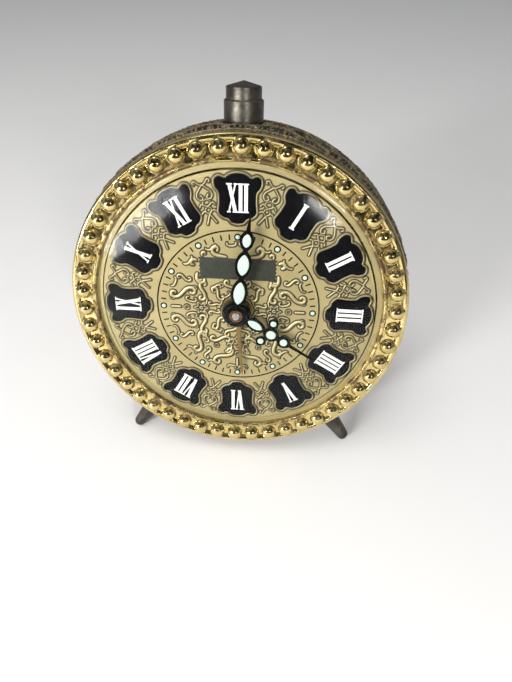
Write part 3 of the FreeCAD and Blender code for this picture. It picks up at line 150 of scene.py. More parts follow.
def lathe(profile, segments, axis_y=True):
    """Return a closed surface turned from (radius, y) points; points on the axis are closed."""
    sheet = Sheet()
    rows = []
    for radius, y in profile:
        row = []
        for step in range(segments):
            angle = TAU * step / segments
            row.append((radius * math.sin(angle), y, radius * math.cos(angle)))
        rows.append(row)
    first_on_axis = profile[0][0] == 0
    last_on_axis = profile[-1][0] == 0
    body_rows = rows[1 if first_on_axis else 0:len(rows) - (1 if last_on_axis else 0)]
    closed = not (first_on_axis or last_on_axis)
    sheet.add_grid(body_rows, close_rows=closed, close_columns=True)
    width = segments
    if first_on_axis:
        tip = len(sheet.verts)
        sheet.verts.append((0, profile[0][1], 0))
        for step in range(width):
            sheet.faces.append((tip, (step + 1) % width, step))
    if last_on_axis:
        tip = len(sheet.verts)
        sheet.verts.append((0, profile[-1][1], 0))
        last = (len(body_rows) - 1) * width
        for step in range(width):
            sheet.faces.append((last + step, last + (step + 1) % width, tip))
    return sheet


def arc(centre, radius, start, finish, count):
    """Return points on an arc, in degrees, both ends included."""
    points = []
    for step in range(count + 1):
        angle = math.radians(start + (finish - start) * step / count)
        points.append((centre[0] + radius * math.cos(angle), centre[1] + radius * math.sin(angle)))
    return points


def rounded(profile, radius, count=4):
    """Round every inner corner of an open (radius, y) profile."""
    result = [profile[0]]
    for before, corner, after in zip(profile, profile[1:], profile[2:]):
        corner, before, after = Vector(corner), Vector(before), Vector(after)
        to_before, to_after = before - corner, after - corner
        reach = min(radius, to_before.length * 0.45, to_after.length * 0.45)
        if to_before.length == 0 or to_after.length == 0:
            result.append(tuple(corner))
            continue
        start = corner + to_before.normalized() * reach
        finish = corner + to_after.normalized() * reach
        for step in range(count + 1):
            share = step / count
            point = (start.lerp(corner, share)).lerp(corner.lerp(finish, share), share)
            result.append(tuple(point))
    result.append(profile[-1])
    return result


def grid_ribbon(points, widths, height, base, sheet, profile_steps=6):
    """Raise a rounded ridge along a path on the dial; height is how far it stands forward."""
    rows = []
    count = len(points)
    for index, (x, z) in enumerate(points):
        before = points[max(index - 1, 0)]
        after = points[min(index + 1, count - 1)]
        along = Vector((after[0] - before[0], after[1] - before[1]))
        if along.length == 0:
            along = Vector((1, 0))
        along.normalize()
        side = Vector((-along.y, along.x))
        half = widths[index] / 2
        row = []
        for step in range(profile_steps + 1):
            turn = math.pi * step / profile_steps
            across = half * math.cos(turn)
            rise = height * min(1.0, widths[index] / max(widths)) * math.sin(turn)
            row.append((x + side.x * across, base - rise, z + side.y * across))
        rows.append(row)
    sheet.add_grid(rows)


# ---------------------------------------------------------------------------------------------
# Materials
# ---------------------------------------------------------------------------------------------

class Paint:
    """A node material built up step by step on a Principled surface."""

    def __init__(self, name):
        self.material = bpy.data.materials.new(name)
        self.material.use_nodes = True
        self.nodes = self.material.node_tree.nodes
        self.links = self.material.node_tree.links
        self.surface = self.nodes["Principled BSDF"]
        self.place = self.nodes.new("ShaderNodeTexCoord").outputs["Object"]

    def node(self, kind, **settings):
        made = self.nodes.new(kind)
        for key, value in settings.items():
            setattr(made, key, value)
        return made

    def noise(self, scale, detail=4.0, roughness=0.55, distortion=0.0, stretch=None):
        made = self.node("ShaderNodeTexNoise")
        made.inputs["Scale"].default_value = scale
        made.inputs["Detail"].default_value = detail
        made.inputs["Roughness"].default_value = roughness
        made.inputs["Distortion"].default_value = distortion
        source = self.place
        if stretch:
            mapping = self.node("ShaderNodeMapping")
            mapping.inputs["Scale"].default_value = stretch
            self.links.new(self.place, mapping.inputs["Vector"])
            source = mapping.outputs["Vector"]
        self.links.new(source, made.inputs["Vector"])
        return made.outputs["Fac"]

    def mask(self, name):
        made = self.node("ShaderNodeAttribute", attribute_name=name)
        return made.outputs["Fac"]

    def ramp(self, factor, stops):
        made = self.node("ShaderNodeValToRGB")
        ramp = made.color_ramp
        while len(ramp.elements) < len(stops):
            ramp.elements.new(0.5)
        for element, (position, colour) in zip(ramp.elements, stops):
            element.position = position
            element.color = (*colour, 1) if len(colour) == 3 else colour
        self.links.new(factor, made.inputs["Fac"])
        return made.outputs["Color"]

    def grade(self, factor, low, high, start=0.0, finish=1.0):
        made = self.node("ShaderNodeMapRange")
        made.inputs["From Min"].default_value = start
        made.inputs["From Max"].default_value = finish
        made.inputs["To Min"].default_value = low
        made.inputs["To Max"].default_value = high
        self.links.new(factor, made.inputs["Value"])
        return made.outputs["Result"]

    def maths(self, operation, first, second=None):
        made = self.node("ShaderNodeMath", operation=operation)
        for index, value in enumerate((first, second)):
            if value is None:
                continue
            if isinstance(value, (int, float)):
                made.inputs[index].default_value = value
            else:
                self.links.new(value, made.inputs[index])
        return made.outputs[0]

    def blend(self, factor, first, second, mode="MIX"):
        made = self.node("ShaderNodeMix", data_type="RGBA", blend_type=mode)
        for socket, value in ((0, factor), (6, first), (7, second)):
            if isinstance(value, (int, float)):
                made.inputs[socket].default_value = value
            elif isinstance(value, tuple):
                made.inputs[socket].default_value = (*value, 1)
            else:
                self.links.new(value, made.inputs[socket])
        return made.outputs[2]

    def bump(self, factor, distance, strength=1.0, normal=None):
        made = self.node("ShaderNodeBump")
        made.inputs["Distance"].default_value = distance
        made.inputs["Strength"].default_value = strength
        self.links.new(factor, made.inputs["Height"])
        if normal is not None:
            self.links.new(normal, made.inputs["Normal"])
        return made.outputs["Normal"]

    def set(self, **inputs):
        for key, value in inputs.items():
            socket = self.surface.inputs[key.replace("_", " ")]
            if isinstance(value, (int, float)):
                socket.default_value = value
            elif isinstance(value, tuple):
                socket.default_value = (*value, 1)
            else:
                self.links.new(value, socket)
        return self


def brass_paint(name, bright, deep, tarnish_and_shade, shine=0.16, use_mask=False):
    """Gilt brass: cloudy colour, fine scratches, and red-brown, tarnished patches where the mask says; on
    the beaded bezel the mask also holds painted shade round each bead's foot.
    """
    paint = Paint(name)
    cloud = paint.noise(260, 6, 0.6)
    colour = paint.blend(paint.grade(cloud, 0, 1, 0.35, 0.7), bright, deep)
    speck = paint.noise(1900, 3, 0.7)
    dirt = paint.grade(speck, 0, 1, 0.58, 0.68)
    blotch = paint.grade(paint.noise(420, 5, 0.65), 0, 1, 0.45, 0.62)
    if use_mask:
        # The mask brings tarnished patches and, round the bead feet, painted shade.
        wear_and_shade = paint.maths("MULTIPLY", paint.mask("tarnish_and_shade"), blotch)
        wear_and_shade = paint.maths("MAXIMUM", wear_and_shade, paint.maths("MULTIPLY", dirt, 0.35))
    else:
        wear_and_shade = paint.maths("MULTIPLY", dirt, 0.4)
    colour = paint.blend(wear_and_shade, colour, tarnish_and_shade)
    scratch = paint.noise(900, 2, 0.5, stretch=(1, 1, 9))
    rough = paint.grade(paint.noise(700, 4, 0.6), shine, 1.5 * shine + 0.04, 0.3, 0.75)
    rough = paint.maths("ADD", rough, paint.maths("MULTIPLY", wear_and_shade, 0.30))
    normal = paint.bump(scratch, 0.000006, 0.35)
    normal = paint.bump(wear_and_shade, 0.00003, 0.5, normal)
    metal = paint.grade(wear_and_shade, 1.0, 0.55)
    paint.set(Base_Color=colour, Metallic=metal, Roughness=rough, Normal=normal)
    return paint.material


def steel_paint(name, colour, dark, rough=0.28, metallic=1.0, grain=(1, 14, 1)):
    paint = Paint(name)
    cloud = paint.noise(350, 5, 0.6)
    tone = paint.blend(paint.grade(cloud, 0, 1, 0.35, 0.7), colour, dark)
    brushed = paint.noise(2600, 2, 0.5, stretch=grain)
    roughness = paint.grade(brushed, rough - 0.06, rough + 0.12, 0.3, 0.7)
    paint.set(Base_Color=tone, Metallic=metallic, Roughness=roughness,
              Normal=paint.bump(brushed, 0.000008, 0.4))
    return paint.material


def dark_bronze_paint():
    """Worn dark bronze plating with lighter rubbed patches."""
    paint = Paint("dark_bronze")
    worn = paint.noise(330, 6, 0.65)
    colour = paint.ramp(worn, [(0.30, (0.034, 0.031, 0.027)), (0.50, (0.070, 0.063, 0.053)),
                               (0.72, (0.135, 0.122, 0.098))])
    pits = paint.noise(2600, 3, 0.6)
    rough = paint.grade(pits, 0.30, 0.50, 0.35, 0.7)
    paint.set(Base_Color=colour, Metallic=0.9, Roughness=rough,
              Normal=paint.bump(pits, 0.00002, 0.35))
    return paint.material


def dial_paint():
    """Champagne-gold dial: darkened along both sides of each embossed line, with painted shade on the lower
    right of every ridge and a painted highlight on its upper left.
    """
    paint = Paint("champagne_dial")
    cloud = paint.noise(120, 5, 0.6)
    colour = paint.blend(paint.grade(cloud, 0, 1, 0.3, 0.72), (0.405, 0.326, 0.158),
                         (0.338, 0.270, 0.124))
    grain = paint.noise(5200, 2, 0.6)
    colour = paint.blend(paint.grade(grain, 0, 0.22, 0.4, 0.7), colour, (0.49, 0.42, 0.255))
    # Painted highlight on the upper-left side of each ridge, read from the relief mask.
    colour = paint.blend(paint.grade(paint.mask("relief"), 0, 0.5, 0.35, 0.95), colour,
                         (0.80, 0.70, 0.44))
    # Dark where the shade mask says: bands along each line, stained tablet rims, and painted shade on the
    # lower right of each ridge.
    patch = paint.grade(paint.noise(900, 4, 0.6), 0.86, 1.0, 0.35, 0.65)
    colour = paint.blend(paint.maths("MULTIPLY", paint.mask("shade"), patch), colour,
                         (0.022, 0.017, 0.007))
    paint.set(Base_Color=colour, Metallic=0.5, Roughness=paint.grade(grain, 0.36, 0.5, 0.3, 0.7),
              Normal=paint.bump(grain, 0.00001, 0.3))
    return paint.material


def shade_paint(name, dark, light):
    """Dark paint, patchy between two tones; it colours the blank plaque."""
    paint = Paint(name)
    patch = paint.noise(900, 4, 0.6)
    colour = paint.blend(paint.grade(patch, 0, 1, 0.35, 0.68), dark, light)
    paint.set(Base_Color=colour, Metallic=0.1, Roughness=0.5,
              Normal=paint.bump(patch, 0.00001, 0.3))
    return paint.material


def gloss_black_paint(name, tint=(0.004, 0.004, 0.005), gloss=0.12):
    """Black enamel with dust, hairline scratches and a slightly wavy gloss."""
    paint = Paint(name)
    dust = paint.grade(paint.noise(3800, 2, 0.7), 0, 1, 0.66, 0.78)
    colour = paint.blend(paint.maths("MULTIPLY", dust, 0.04), tint, (0.30, 0.29, 0.27))
    wave = paint.noise(500, 3, 0.5)
    paint.set(Base_Color=colour, Roughness=paint.grade(wave, 0.14, 0.26, 0.3, 0.7),
              Normal=paint.bump(wave, 0.00002, 0.25))
    paint.surface.inputs["Specular IOR Level"].default_value = gloss
    return paint.material


def white_paint(name, colour=(0.80, 0.79, 0.76)):
    paint = Paint(name)
    patch = paint.noise(1500, 4, 0.6)
    tone = paint.blend(paint.grade(patch, 0, 0.6, 0.4, 0.75), colour, (0.62, 0.60, 0.55))
    paint.set(Base_Color=tone, Roughness=0.5, Normal=paint.bump(patch, 0.00001, 0.3))
    return paint.material


def lume_paint():
    """Pale mint luminous filler, grainy and slightly uneven."""
    paint = Paint("lume")
    grain = paint.noise(3000, 3, 0.7)
    colour = paint.ramp(grain, [(0.30, (0.37, 0.485, 0.415)), (0.52, (0.45, 0.565, 0.49)),
                                (0.75, (0.52, 0.62, 0.555))])
    paint.set(Base_Color=colour, Roughness=0.62, Normal=paint.bump(grain, 0.00003, 0.5))
    return paint.material


def crystal_paint():
    """Clear acrylic: see-through straight on, mirror-like at a glance, with hairline scratches."""
    paint = Paint("clear_acrylic")
    nodes, links = paint.nodes, paint.links
    output = nodes["Material Output"]
    clear = paint.node("ShaderNodeBsdfTransparent")
    clear.inputs["Color"].default_value = (0.965, 0.97, 0.96, 1)
    gloss = paint.node("ShaderNodeBsdfGlossy")
    hair = paint.noise(700, 2, 0.5, stretch=(9, 1, 1))
    links.new(paint.grade(hair, 0.05, 0.13, 0.35, 0.75), gloss.inputs["Roughness"])
    fresnel = paint.node("ShaderNodeFresnel")
    fresnel.inputs["IOR"].default_value = 1.49
    facing = paint.node("ShaderNodeNewGeometry")
    front = paint.maths("SUBTRACT", 1.0, facing.outputs["Backfacing"])
    mix = paint.node("ShaderNodeMixShader")
    share = paint.maths("MULTIPLY", fresnel.outputs[0], paint.maths("MULTIPLY", front, 0.19))
    links.new(share, mix.inputs[0])
    links.new(clear.outputs[0], mix.inputs[1])
    links.new(gloss.outputs[0], mix.inputs[2])
    links.new(mix.outputs[0], output.inputs["Surface"])
    return paint.material


def band_paint():
    """Olive-black patina, with bronze and copper rubbed up on the relief."""
    paint = Paint("dark_band")
    high = paint.mask("relief")
    worn = paint.noise(1500, 4, 0.7)
    fleck = paint.noise(3300, 3, 0.7)
    base = paint.ramp(worn, [(0.32, (0.012, 0.011, 0.007)), (0.55, (0.045, 0.040, 0.022)),
                             (0.75, (0.085, 0.072, 0.035))])
    bronze = paint.ramp(fleck, [(0.35, (0.20, 0.15, 0.08)), (0.55, (0.50, 0.40, 0.23)),
                                (0.70, (0.60, 0.36, 0.22))])
    rubbed = paint.maths("MULTIPLY", paint.grade(high, 0, 1, 0.45, 0.95),
                         paint.grade(fleck, 0.15, 1, 0.38, 0.6))
    colour = paint.blend(rubbed, base, bronze)
    paint.set(Base_Color=colour, Metallic=paint.grade(rubbed, 0.45, 0.95),
              Roughness=paint.grade(rubbed, 0.62, 0.34), Normal=paint.bump(fleck, 0.00004, 0.6))
    return paint.material


def floor_paint():
    paint = Paint("pale_floor")
    grain = paint.noise(40, 3, 0.5)
    tone = paint.blend(paint.grade(grain, 0, 1), (0.70, 0.69, 0.675), (0.73, 0.72, 0.705))
    paint.set(Base_Color=tone, Roughness=0.6)
    return paint.material


AGED_BRASS = brass_paint("aged_brass", (0.33, 0.235, 0.10), (0.22, 0.15, 0.06),
                         (0.07, 0.04, 0.02), shine=0.28)
GILT = brass_paint("gilt_brass", (0.74, 0.60, 0.28), (0.58, 0.45, 0.18), (0.105, 0.064, 0.024),
                   shine=0.07, use_mask=True)
PLAIN_GILT = brass_paint("gilt_brass_rear", (0.74, 0.55, 0.22), (0.60, 0.42, 0.14),
                         (0.13, 0.07, 0.03), shine=0.22)
PLATE_BRASS = brass_paint("plate_brass", (0.72, 0.56, 0.27), (0.60, 0.44, 0.19),
                          (0.20, 0.12, 0.05), shine=0.30)
COPPER = brass_paint("copper_brass", (0.62, 0.36, 0.17), (0.48, 0.27, 0.12), (0.12, 0.06, 0.03),
                     shine=0.22)
DARK_COPPER = brass_paint("dark_copper", (0.20, 0.105, 0.055), (0.12, 0.06, 0.03), (0.04, 0.025, 0.015))
STEEL = steel_paint("steel", (0.60, 0.60, 0.61), (0.42, 0.42, 0.43))
NICKEL = steel_paint("nickel", (0.76, 0.74, 0.70), (0.60, 0.58, 0.54), rough=0.16)
SPRING = steel_paint("spring_steel", (0.16, 0.20, 0.32), (0.10, 0.12, 0.20), rough=0.25)
BRONZE = dark_bronze_paint()
CHAMPAGNE = dial_paint()
PLAQUE = shade_paint("plaque_olive", (0.010, 0.012, 0.005), (0.022, 0.025, 0.012))
INK = gloss_black_paint("printed_ink", (0.007, 0.006, 0.004))
ENAMEL = gloss_black_paint("black_enamel")
BLACK = gloss_black_paint("blackened_steel", (0.004, 0.004, 0.004))
WHITE = white_paint("white_print")
LUME = lume_paint()
CRYSTAL = crystal_paint()
BAND = band_paint()

# ---------------------------------------------------------------------------------------------
# Curves for engraving
# ---------------------------------------------------------------------------------------------

def through(points, closed=False, steps=12):
    """Return a smooth curve through the given points."""
    count = len(points)
    result = []
    spans = count if closed else count - 1
    for span in range(spans):
        picks = []
        for offset in (-1, 0, 1, 2):
            index = span + offset
            index = index % count if closed else min(max(index, 0), count - 1)
            picks.append(Vector(points[index]))
        before, start, finish, after = picks
        for step in range(steps):
            share = step / steps
            bend = (2 * start + (finish - before) * share
                    + (2 * before - 5 * start + 4 * finish - after) * share ** 2
                    + (3 * start - before - 3 * finish + after) * share ** 3)
            result.append(tuple(bend / 2))
    if not closed:
        result.append(tuple(points[-1]))
    return result


def scroll(place, heading, length, end_turns, start_turns=None, power=2.0, steps=110):
    """Return a scroll centred on a place: a line that curls up towards each end.

    Turns count how far each end curls; by default the start curls the other way, giving an S.
    """
    start_turns = -end_turns if start_turns is None else start_turns
    step_length = length / steps
    tightest = TAU * (power + 1) / (length / 2)
    x = z = angle = 0.0
    track = [(x, z, angle)]
    for step in range(steps):
        share = 2 * (step + 0.5) / steps - 1
        turns = end_turns if share > 0 else start_turns
        angle += turns * tightest * abs(share) ** power * step_length
        x += math.cos(angle) * step_length
        z += math.sin(angle) * step_length
        track.append((x, z, angle))
    middle_x, middle_z, middle_angle = track[steps // 2]
    turn = math.radians(heading) - middle_angle
    points = []
    for x, z, _ in track:
        along, side = x - middle_x, z - middle_z
        points.append((place[0] + along * math.cos(turn) - side * math.sin(turn),
                       place[1] + along * math.sin(turn) + side * math.cos(turn)))
    return points


def circle_points(place, radius, count=24):
    return [(place[0] + radius * math.cos(TAU * step / count),
             place[1] + radius * math.sin(TAU * step / count)) for step in range(count + 1)]


def spun(points, degrees):
    """Turn flat points clockwise about the dial's centre."""
    turn = math.radians(degrees)
    return [(x * math.cos(turn) + z * math.sin(turn), z * math.cos(turn) - x * math.sin(turn))
            for x, z in points]


def mirrored(points):
    return [(-x, z) for x, z in points]


class Board:
    """A flat drawing board that keeps the height of a relief and the distance from its lines."""

    def __init__(self, width, height, pitch, centred=True, wrap=False):
        self.pitch = pitch
        self.columns = int(round(width / pitch))
        self.rows = int(round(height / pitch))
        self.x0 = -width / 2 if centred else 0.0
        self.z0 = -height / 2 if centred else 0.0
        self.wrap = wrap
        self.relief = np.zeros((self.rows, self.columns))
        self.gap = np.full((self.rows, self.columns), 9.0)

    def stamp(self, x, z, half, height):
        """Press one rounded bump, and note how far everything around is from its edge."""
        reach = half + 0.6
        first_column = int((x - reach - self.x0) / self.pitch)
        last_column = int((x + reach - self.x0) / self.pitch) + 1
        first_row = max(int((z - reach - self.z0) / self.pitch), 0)
        last_row = min(int((z + reach - self.z0) / self.pitch) + 1, self.rows)
        if last_row <= first_row:
            return
        columns = np.arange(first_column, last_column)
        rows = np.arange(first_row, last_row)
        across = self.x0 + (columns + 0.5) * self.pitch - x
        down = self.z0 + (rows + 0.5) * self.pitch - z
        distance = np.hypot(across[None, :], down[:, None])
        bump = height * np.sqrt(np.clip(1 - (distance / half) ** 2, 0, 1))
        if self.wrap:
            columns = columns % self.columns
        else:
            inside = (columns >= 0) & (columns < self.columns)
            columns, bump, distance = columns[inside], bump[:, inside], distance[:, inside]
        patch = np.ix_(rows, columns)
        self.relief[patch] = np.maximum(self.relief[patch], bump)
        self.gap[patch] = np.minimum(self.gap[patch], distance - half)

    def line(self, points, width, height, taper=0.0):
        """Press a ridge along a path, thinner towards both ends when tapered."""
        lengths = [0.0]
        for before, after in zip(points, points[1:]):
            lengths.append(lengths[-1] + math.dist(before, after))
        total = lengths[-1]
        if total == 0:
            return
        count = max(int(total / (width * 0.16)), 2)
        xs = np.interp(np.linspace(0, total, count), lengths, [point[0] for point in points])
        zs = np.interp(np.linspace(0, total, count), lengths, [point[1] for point in points])
        for index, (x, z) in enumerate(zip(xs, zs)):
            share = index / (count - 1)
            thin = 1 - taper * (1 - math.sin(math.pi * share) ** 0.5)
            self.stamp(x, z, width / 2 * thin, height * thin)

    def sample(self, layer, x, z):
        """Read a layer between its cells."""
        column = (x - self.x0) / self.pitch - 0.5
        row = np.clip((z - self.z0) / self.pitch - 0.5, 0, self.rows - 1.001)
        if self.wrap:
            left = np.floor(column).astype(int)
            part_x = column - left
            right = (left + 1) % self.columns
            left = left % self.columns
        else:
            column = np.clip(column, 0, self.columns - 1.001)
            left = column.astype(int)
            part_x = column - left
            right = left + 1
        low = row.astype(int)
        part_z = row - low
        upper = layer[low, left] * (1 - part_x) + layer[low, right] * part_x
        lower = layer[low + 1, left] * (1 - part_x) + layer[low + 1, right] * part_x
        return upper * (1 - part_z) + lower * part_z


# ---------------------------------------------------------------------------------------------
# Bezel: a beaded ring pressed from one sheet
# ---------------------------------------------------------------------------------------------

BEADS = 50
BEAD_CIRCLE = 35.45
BEAD_RADIUS = 1.82
BEAD_CENTRE_Y = -0.15
BEAD_FLATTENING = 0.88
BEAD_PHASE = 1.1
WINDOW_RADIUS = 32.4
LIP_FRONT = -0.75
LIP_WIDTH = 1.0
BEZEL_RADIUS = 37.97
RIM_FRONT = -0.95
RIM_WIDTH = 1.7
FACE_Y = -0.25
BEZEL_REAR = 2.2
STEPS_PER_BEAD = 36


def lip_front(radius):
    """Return the front of the sheet before the beads are raised: low inner lip, flat, rolled rim."""
    inner = radius - WINDOW_RADIUS
    outer = BEZEL_RADIUS - radius
    lip_away = min(1.0, abs(inner - LIP_WIDTH / 2) / (LIP_WIDTH / 2))
    lip = FACE_Y + (LIP_FRONT - FACE_Y) * math.sqrt(1 - lip_away ** 2)
    crest = RIM_WIDTH * 0.45
    if outer < crest:
        roll = RIM_FRONT + (1 - math.sqrt(1 - (1 - outer / crest) ** 2)) * crest
        return roll
    rim = FACE_Y + (RIM_FRONT - FACE_Y) * max(0.0, 1 - ((outer - crest) / (RIM_WIDTH - crest)) ** 2)
    return min(lip, rim)


def smooth_least(first, second, soft):
    """Return the lower of two numbers with the crease between them rounded."""
    share = max(0.0, min(1.0, 0.5 + 0.5 * (second - first) / soft))
    return second * (1 - share) + first * share - soft * share * (1 - share)


def build_bezel():
    count = BEADS * STEPS_PER_BEAD
    radial_steps = 58
    radii = []
    for step in range(radial_steps + 1):
        radii.append(WINDOW_RADIUS + (BEZEL_RADIUS - WINDOW_RADIUS) * step / radial_steps)
    sheet = Sheet()
    rows = []
    tarnish_and_shade = []
    for radius in radii:
        row = []
        base = lip_front(radius)
        for step in range(count):
            angle = 360 * step / count
            pitch = 360 / BEADS
            off = math.radians((angle - BEAD_PHASE + pitch / 2) % pitch - pitch / 2)
            away = math.hypot(radius * math.cos(off) - BEAD_CIRCLE, radius * math.sin(off))
            y = base
            if away < BEAD_RADIUS:
                dome = BEAD_CENTRE_Y - math.sqrt(BEAD_RADIUS ** 2 - away ** 2) * BEAD_FLATTENING
                y = smooth_least(base, dome, 0.4)
            turn = math.radians(angle)
            row.append((radius * math.sin(turn), y, radius * math.cos(turn)))
            # Tarnished inner band by the window (edge), and painted shade with some tarnishing round each
            # bead's foot (foot).
            edge = 1.5 - min(1.5, max(0.0, radius - WINDOW_RADIUS - LIP_WIDTH) / 0.55)
            foot = 1 - min(1.0, abs(away - BEAD_RADIUS) / 0.35)
            tarnish_and_shade.append(max(edge, foot * 0.8, 0.10))
        rows.append(row)
    back = ((BEZEL_RADIUS, BEZEL_REAR - 0.15), (BEZEL_RADIUS - 0.15, BEZEL_REAR),
            (WINDOW_RADIUS + 1.2, BEZEL_REAR), (WINDOW_RADIUS + 1.2, 0.9), (WINDOW_RADIUS, 0.9))
    for radius, y in back:
        row = []
        for step in range(count):
            turn = TAU * step / count
            row.append((radius * math.sin(turn), y, radius * math.cos(turn)))
            tarnish_and_shade.append(0.15)
        rows.append(row)
    sheet.add_grid(rows, close_rows=True, close_columns=True)
    piece = add_piece("beaded_bezel", sheet.verts, sheet.faces, "case", GILT)
    set_mask(piece, "tarnish_and_shade", tarnish_and_shade)
    sharpen(piece, 60)
    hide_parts("bezel")


# ---------------------------------------------------------------------------------------------
# Dial: embossed disc with scrollwork, cartouches, numerals, minute ring and hands
# ---------------------------------------------------------------------------------------------

DIAL_RADIUS = 30.8
DIAL_HOLE = 3.1
DIAL_THICKNESS = 0.5
SCROLL_LIMIT = 15.9
RIDGE_WIDTH = 0.46
RIDGE_HEIGHT = 0.20
MINUTE_CIRCLE = 17.0
RING_LINE = 18.4
HOURS = 12

CARTOUCHE_HALF = ((0.0, 19.7), (1.25, 19.95), (2.0, 20.75), (3.1, 21.1), (4.05, 22.2), (3.92, 24.2),
                  (4.0, 26.2), (4.65, 27.1), (5.0, 28.1), (4.85, 29.15), (3.9, 29.7),
                  (2.75, 29.35), (2.2, 29.75), (1.25, 30.2), (0.0, 30.4))
PLAQUE_LOW = 7.3
PLAQUE_HIGH = 12.2
PLAQUE_HALF = 8.7


def cartouche_outline():
    right = through(CARTOUCHE_HALF, steps=6)
    return right + mirrored(right)[-2:0:-1]


def sprig_lines():
    """Return the lines of one upright sprig between two cartouches."""
    half = [
        (through(((0.05, 28.45), (0.75, 28.9), (1.35, 29.5), (1.8, 29.3), (1.6, 28.85))), 0.34),
        (through(((0.0, 28.6), (0.7, 27.9), (1.5, 27.0), (1.55, 26.1), (0.95, 25.55), (0.42, 26.0),
                  (0.8, 26.5))), 0.36),
        (through(((0.0, 25.7), (0.72, 25.2), (0.72, 24.6), (0.0, 24.15))), 0.30),
        (through(((0.35, 24.25), (1.2, 24.75), (1.65, 24.2))), 0.34),
        (through(((0.0, 24.1), (0.6, 23.6), (0.55, 23.0), (0.0, 22.5))), 0.30),
        (through(((0.2, 22.7), (1.0, 23.2), (1.55, 22.75))), 0.36),
        (through(((0.0, 22.5), (0.4, 21.7), (1.0, 20.5))), 0.40),
    ]
    lines = half + [(mirrored(points), width) for points, width in half]
    return lines


def around_dial(radius, degrees):
    """Return the flat place at a radius, clockwise from twelve."""
    turn = math.radians(degrees)
    return radius * math.sin(turn), radius * math.cos(turn)


# Scrolls of one quarter of the dial's middle.  Each line gives the radius and clockwise angle of
# its middle, its lean from the tangent, its length, how far its ends curl, and its width.
QUARTER_SCROLLS = (
    (13.0, 15, 20, 10.4, 0.85, 0.90), (12.5, 45, -28, 10.6, -0.85, 0.90),
    (12.9, 74, 24, 10.4, 0.85, 0.90), (8.9, 27, 62, 8.2, -0.8, 0.80),
    (8.9, 62, -60, 8.2, 0.8, 0.80), (5.7, 16, 28, 6.6, 0.8, 0.66),
    (5.8, 50, -42, 6.6, -0.8, 0.66), (5.4, 80, 60, 4.8, 0.8, 0.54),
    (13.9, 31, 70, 5.4, 0.75, 0.58), (13.9, 59, -70, 5.4, -0.75, 0.58),
)
# Hooks are scrolls whose ends both curl the same way: radius, angle, lean, length, curl, width.
QUARTER_HOOKS = (
    (15.2, 22, 0, 4.2, 0.55, 0.50), (15.2, 44, 0, 4.6, 0.55, 0.54), (15.2, 67, 0, 4.2, 0.55, 0.50),
    (15.1, 5, 0, 3.6, 0.55, 0.48), (10.5, 45, 0, 5.0, 0.6, 0.54), (10.6, 8, 85, 5.0, -0.6, 0.52),
    (10.8, 82, 95, 4.4, 0.6, 0.50), (7.4, 44, 0, 4.4, -0.6, 0.48), (8.0, 8, 10, 4.4, 0.6, 0.46),
    (7.2, 77, 0, 3.4, 0.6, 0.44), (3.9, 35, 0, 3.2, 0.5, 0.40), (3.9, 68, 0, 3.0, 0.5, 0.40),
)
CURL_SPREAD = 1.15


def arabesque_quarter():
    """Return the scrollwork lines of one quarter of the dial's middle."""
    lines = []
    for radius, degrees, lean, length, curl, width in QUARTER_SCROLLS:
        place = around_dial(radius, degrees)
        lines.append((scroll(place, lean - degrees, length, curl, power=CURL_SPREAD), width))
    for radius, degrees, lean, length, curl, width in QUARTER_HOOKS:
        place = around_dial(radius, degrees)
        lines.append((scroll(place, lean - degrees, length, curl, curl, CURL_SPREAD), width))
    for radius, degrees in ((10.9, 27), (10.8, 64), (15.0, 81), (6.9, 32)):
        lines.append((circle_points(around_dial(radius, degrees), 0.45), 0.30))
    return lines


def arabesque_axis():
    """Return the ornaments on the dial's own middle lines: stars at the sides, rings below."""
    points = 12
    star = []
    for step in range(points + 1):
        radius = 1.6 if step % 2 == 0 else 0.8
        angle = TAU * step / points
        star.append((radius * math.sin(angle), 8.3 + radius * math.cos(angle)))
    lines = []
    for degrees in (90, 180, 270):
        lines.append((spun(star, degrees), 0.32))
        lines.append((spun(circle_points((0, 8.3), 0.3), degrees), 0.36))
        lines.append((spun(circle_points((0, 11.6), 0.5), degrees), 0.3))
        lines.append((spun([(0, 13.2), (0, 15.0)], degrees), 0.6))
    return lines


def in_plaque(x, z, margin=0.0):
    return abs(x) < PLAQUE_HALF + margin and PLAQUE_LOW - margin < z < PLAQUE_HIGH + margin


def clipped(points):
    """Split a line where it would cross the plaque, the centre hub or the minute ring."""
    runs = [[]]
    for x, z in points:
        radius = math.hypot(x, z)
        if in_plaque(x, z, 0.25) or radius > SCROLL_LIMIT or radius < DIAL_HOLE + 0.4:
            runs.append([])
        else:
            runs[-1].append((x, z))
    shortest = 12
    return [run for run in runs if len(run) > shortest or run == points]


def draw_dial_board():
    board = Board(62.4, 62.4, 0.06)
    for points, width in arabesque_quarter():
        for side in (1, -1):
            for half in (1, -1):
                copy = [(x * side, z * half) for x, z in points]
                for run in clipped(copy):
                    board.line(run, width, RIDGE_HEIGHT, taper=0.45)
    for points, width in arabesque_axis():
        for run in clipped(points):
            board.line(run, width, RIDGE_HEIGHT)
    for hour in range(HOURS):
        for points, width in sprig_lines():
            board.line(spun(points, 30 * hour + 15), width, RIDGE_HEIGHT * 0.9)
    outline = cartouche_outline()
    outline.append(outline[0])
    for hour in range(HOURS):
        board.line(spun(outline, 30 * hour), 0.5, 0.24)
    return board


# Painted shade lies on the lower right of every ridge, as if lit from the upper left, this far from it and
# where it falls this steeply.
LEE_REACH = 0.20
LEE_DEPTH = 0.06
# Share of grime on the rims round the tablets, which stand higher than the other ridges.
RIM_STAIN = 0.7


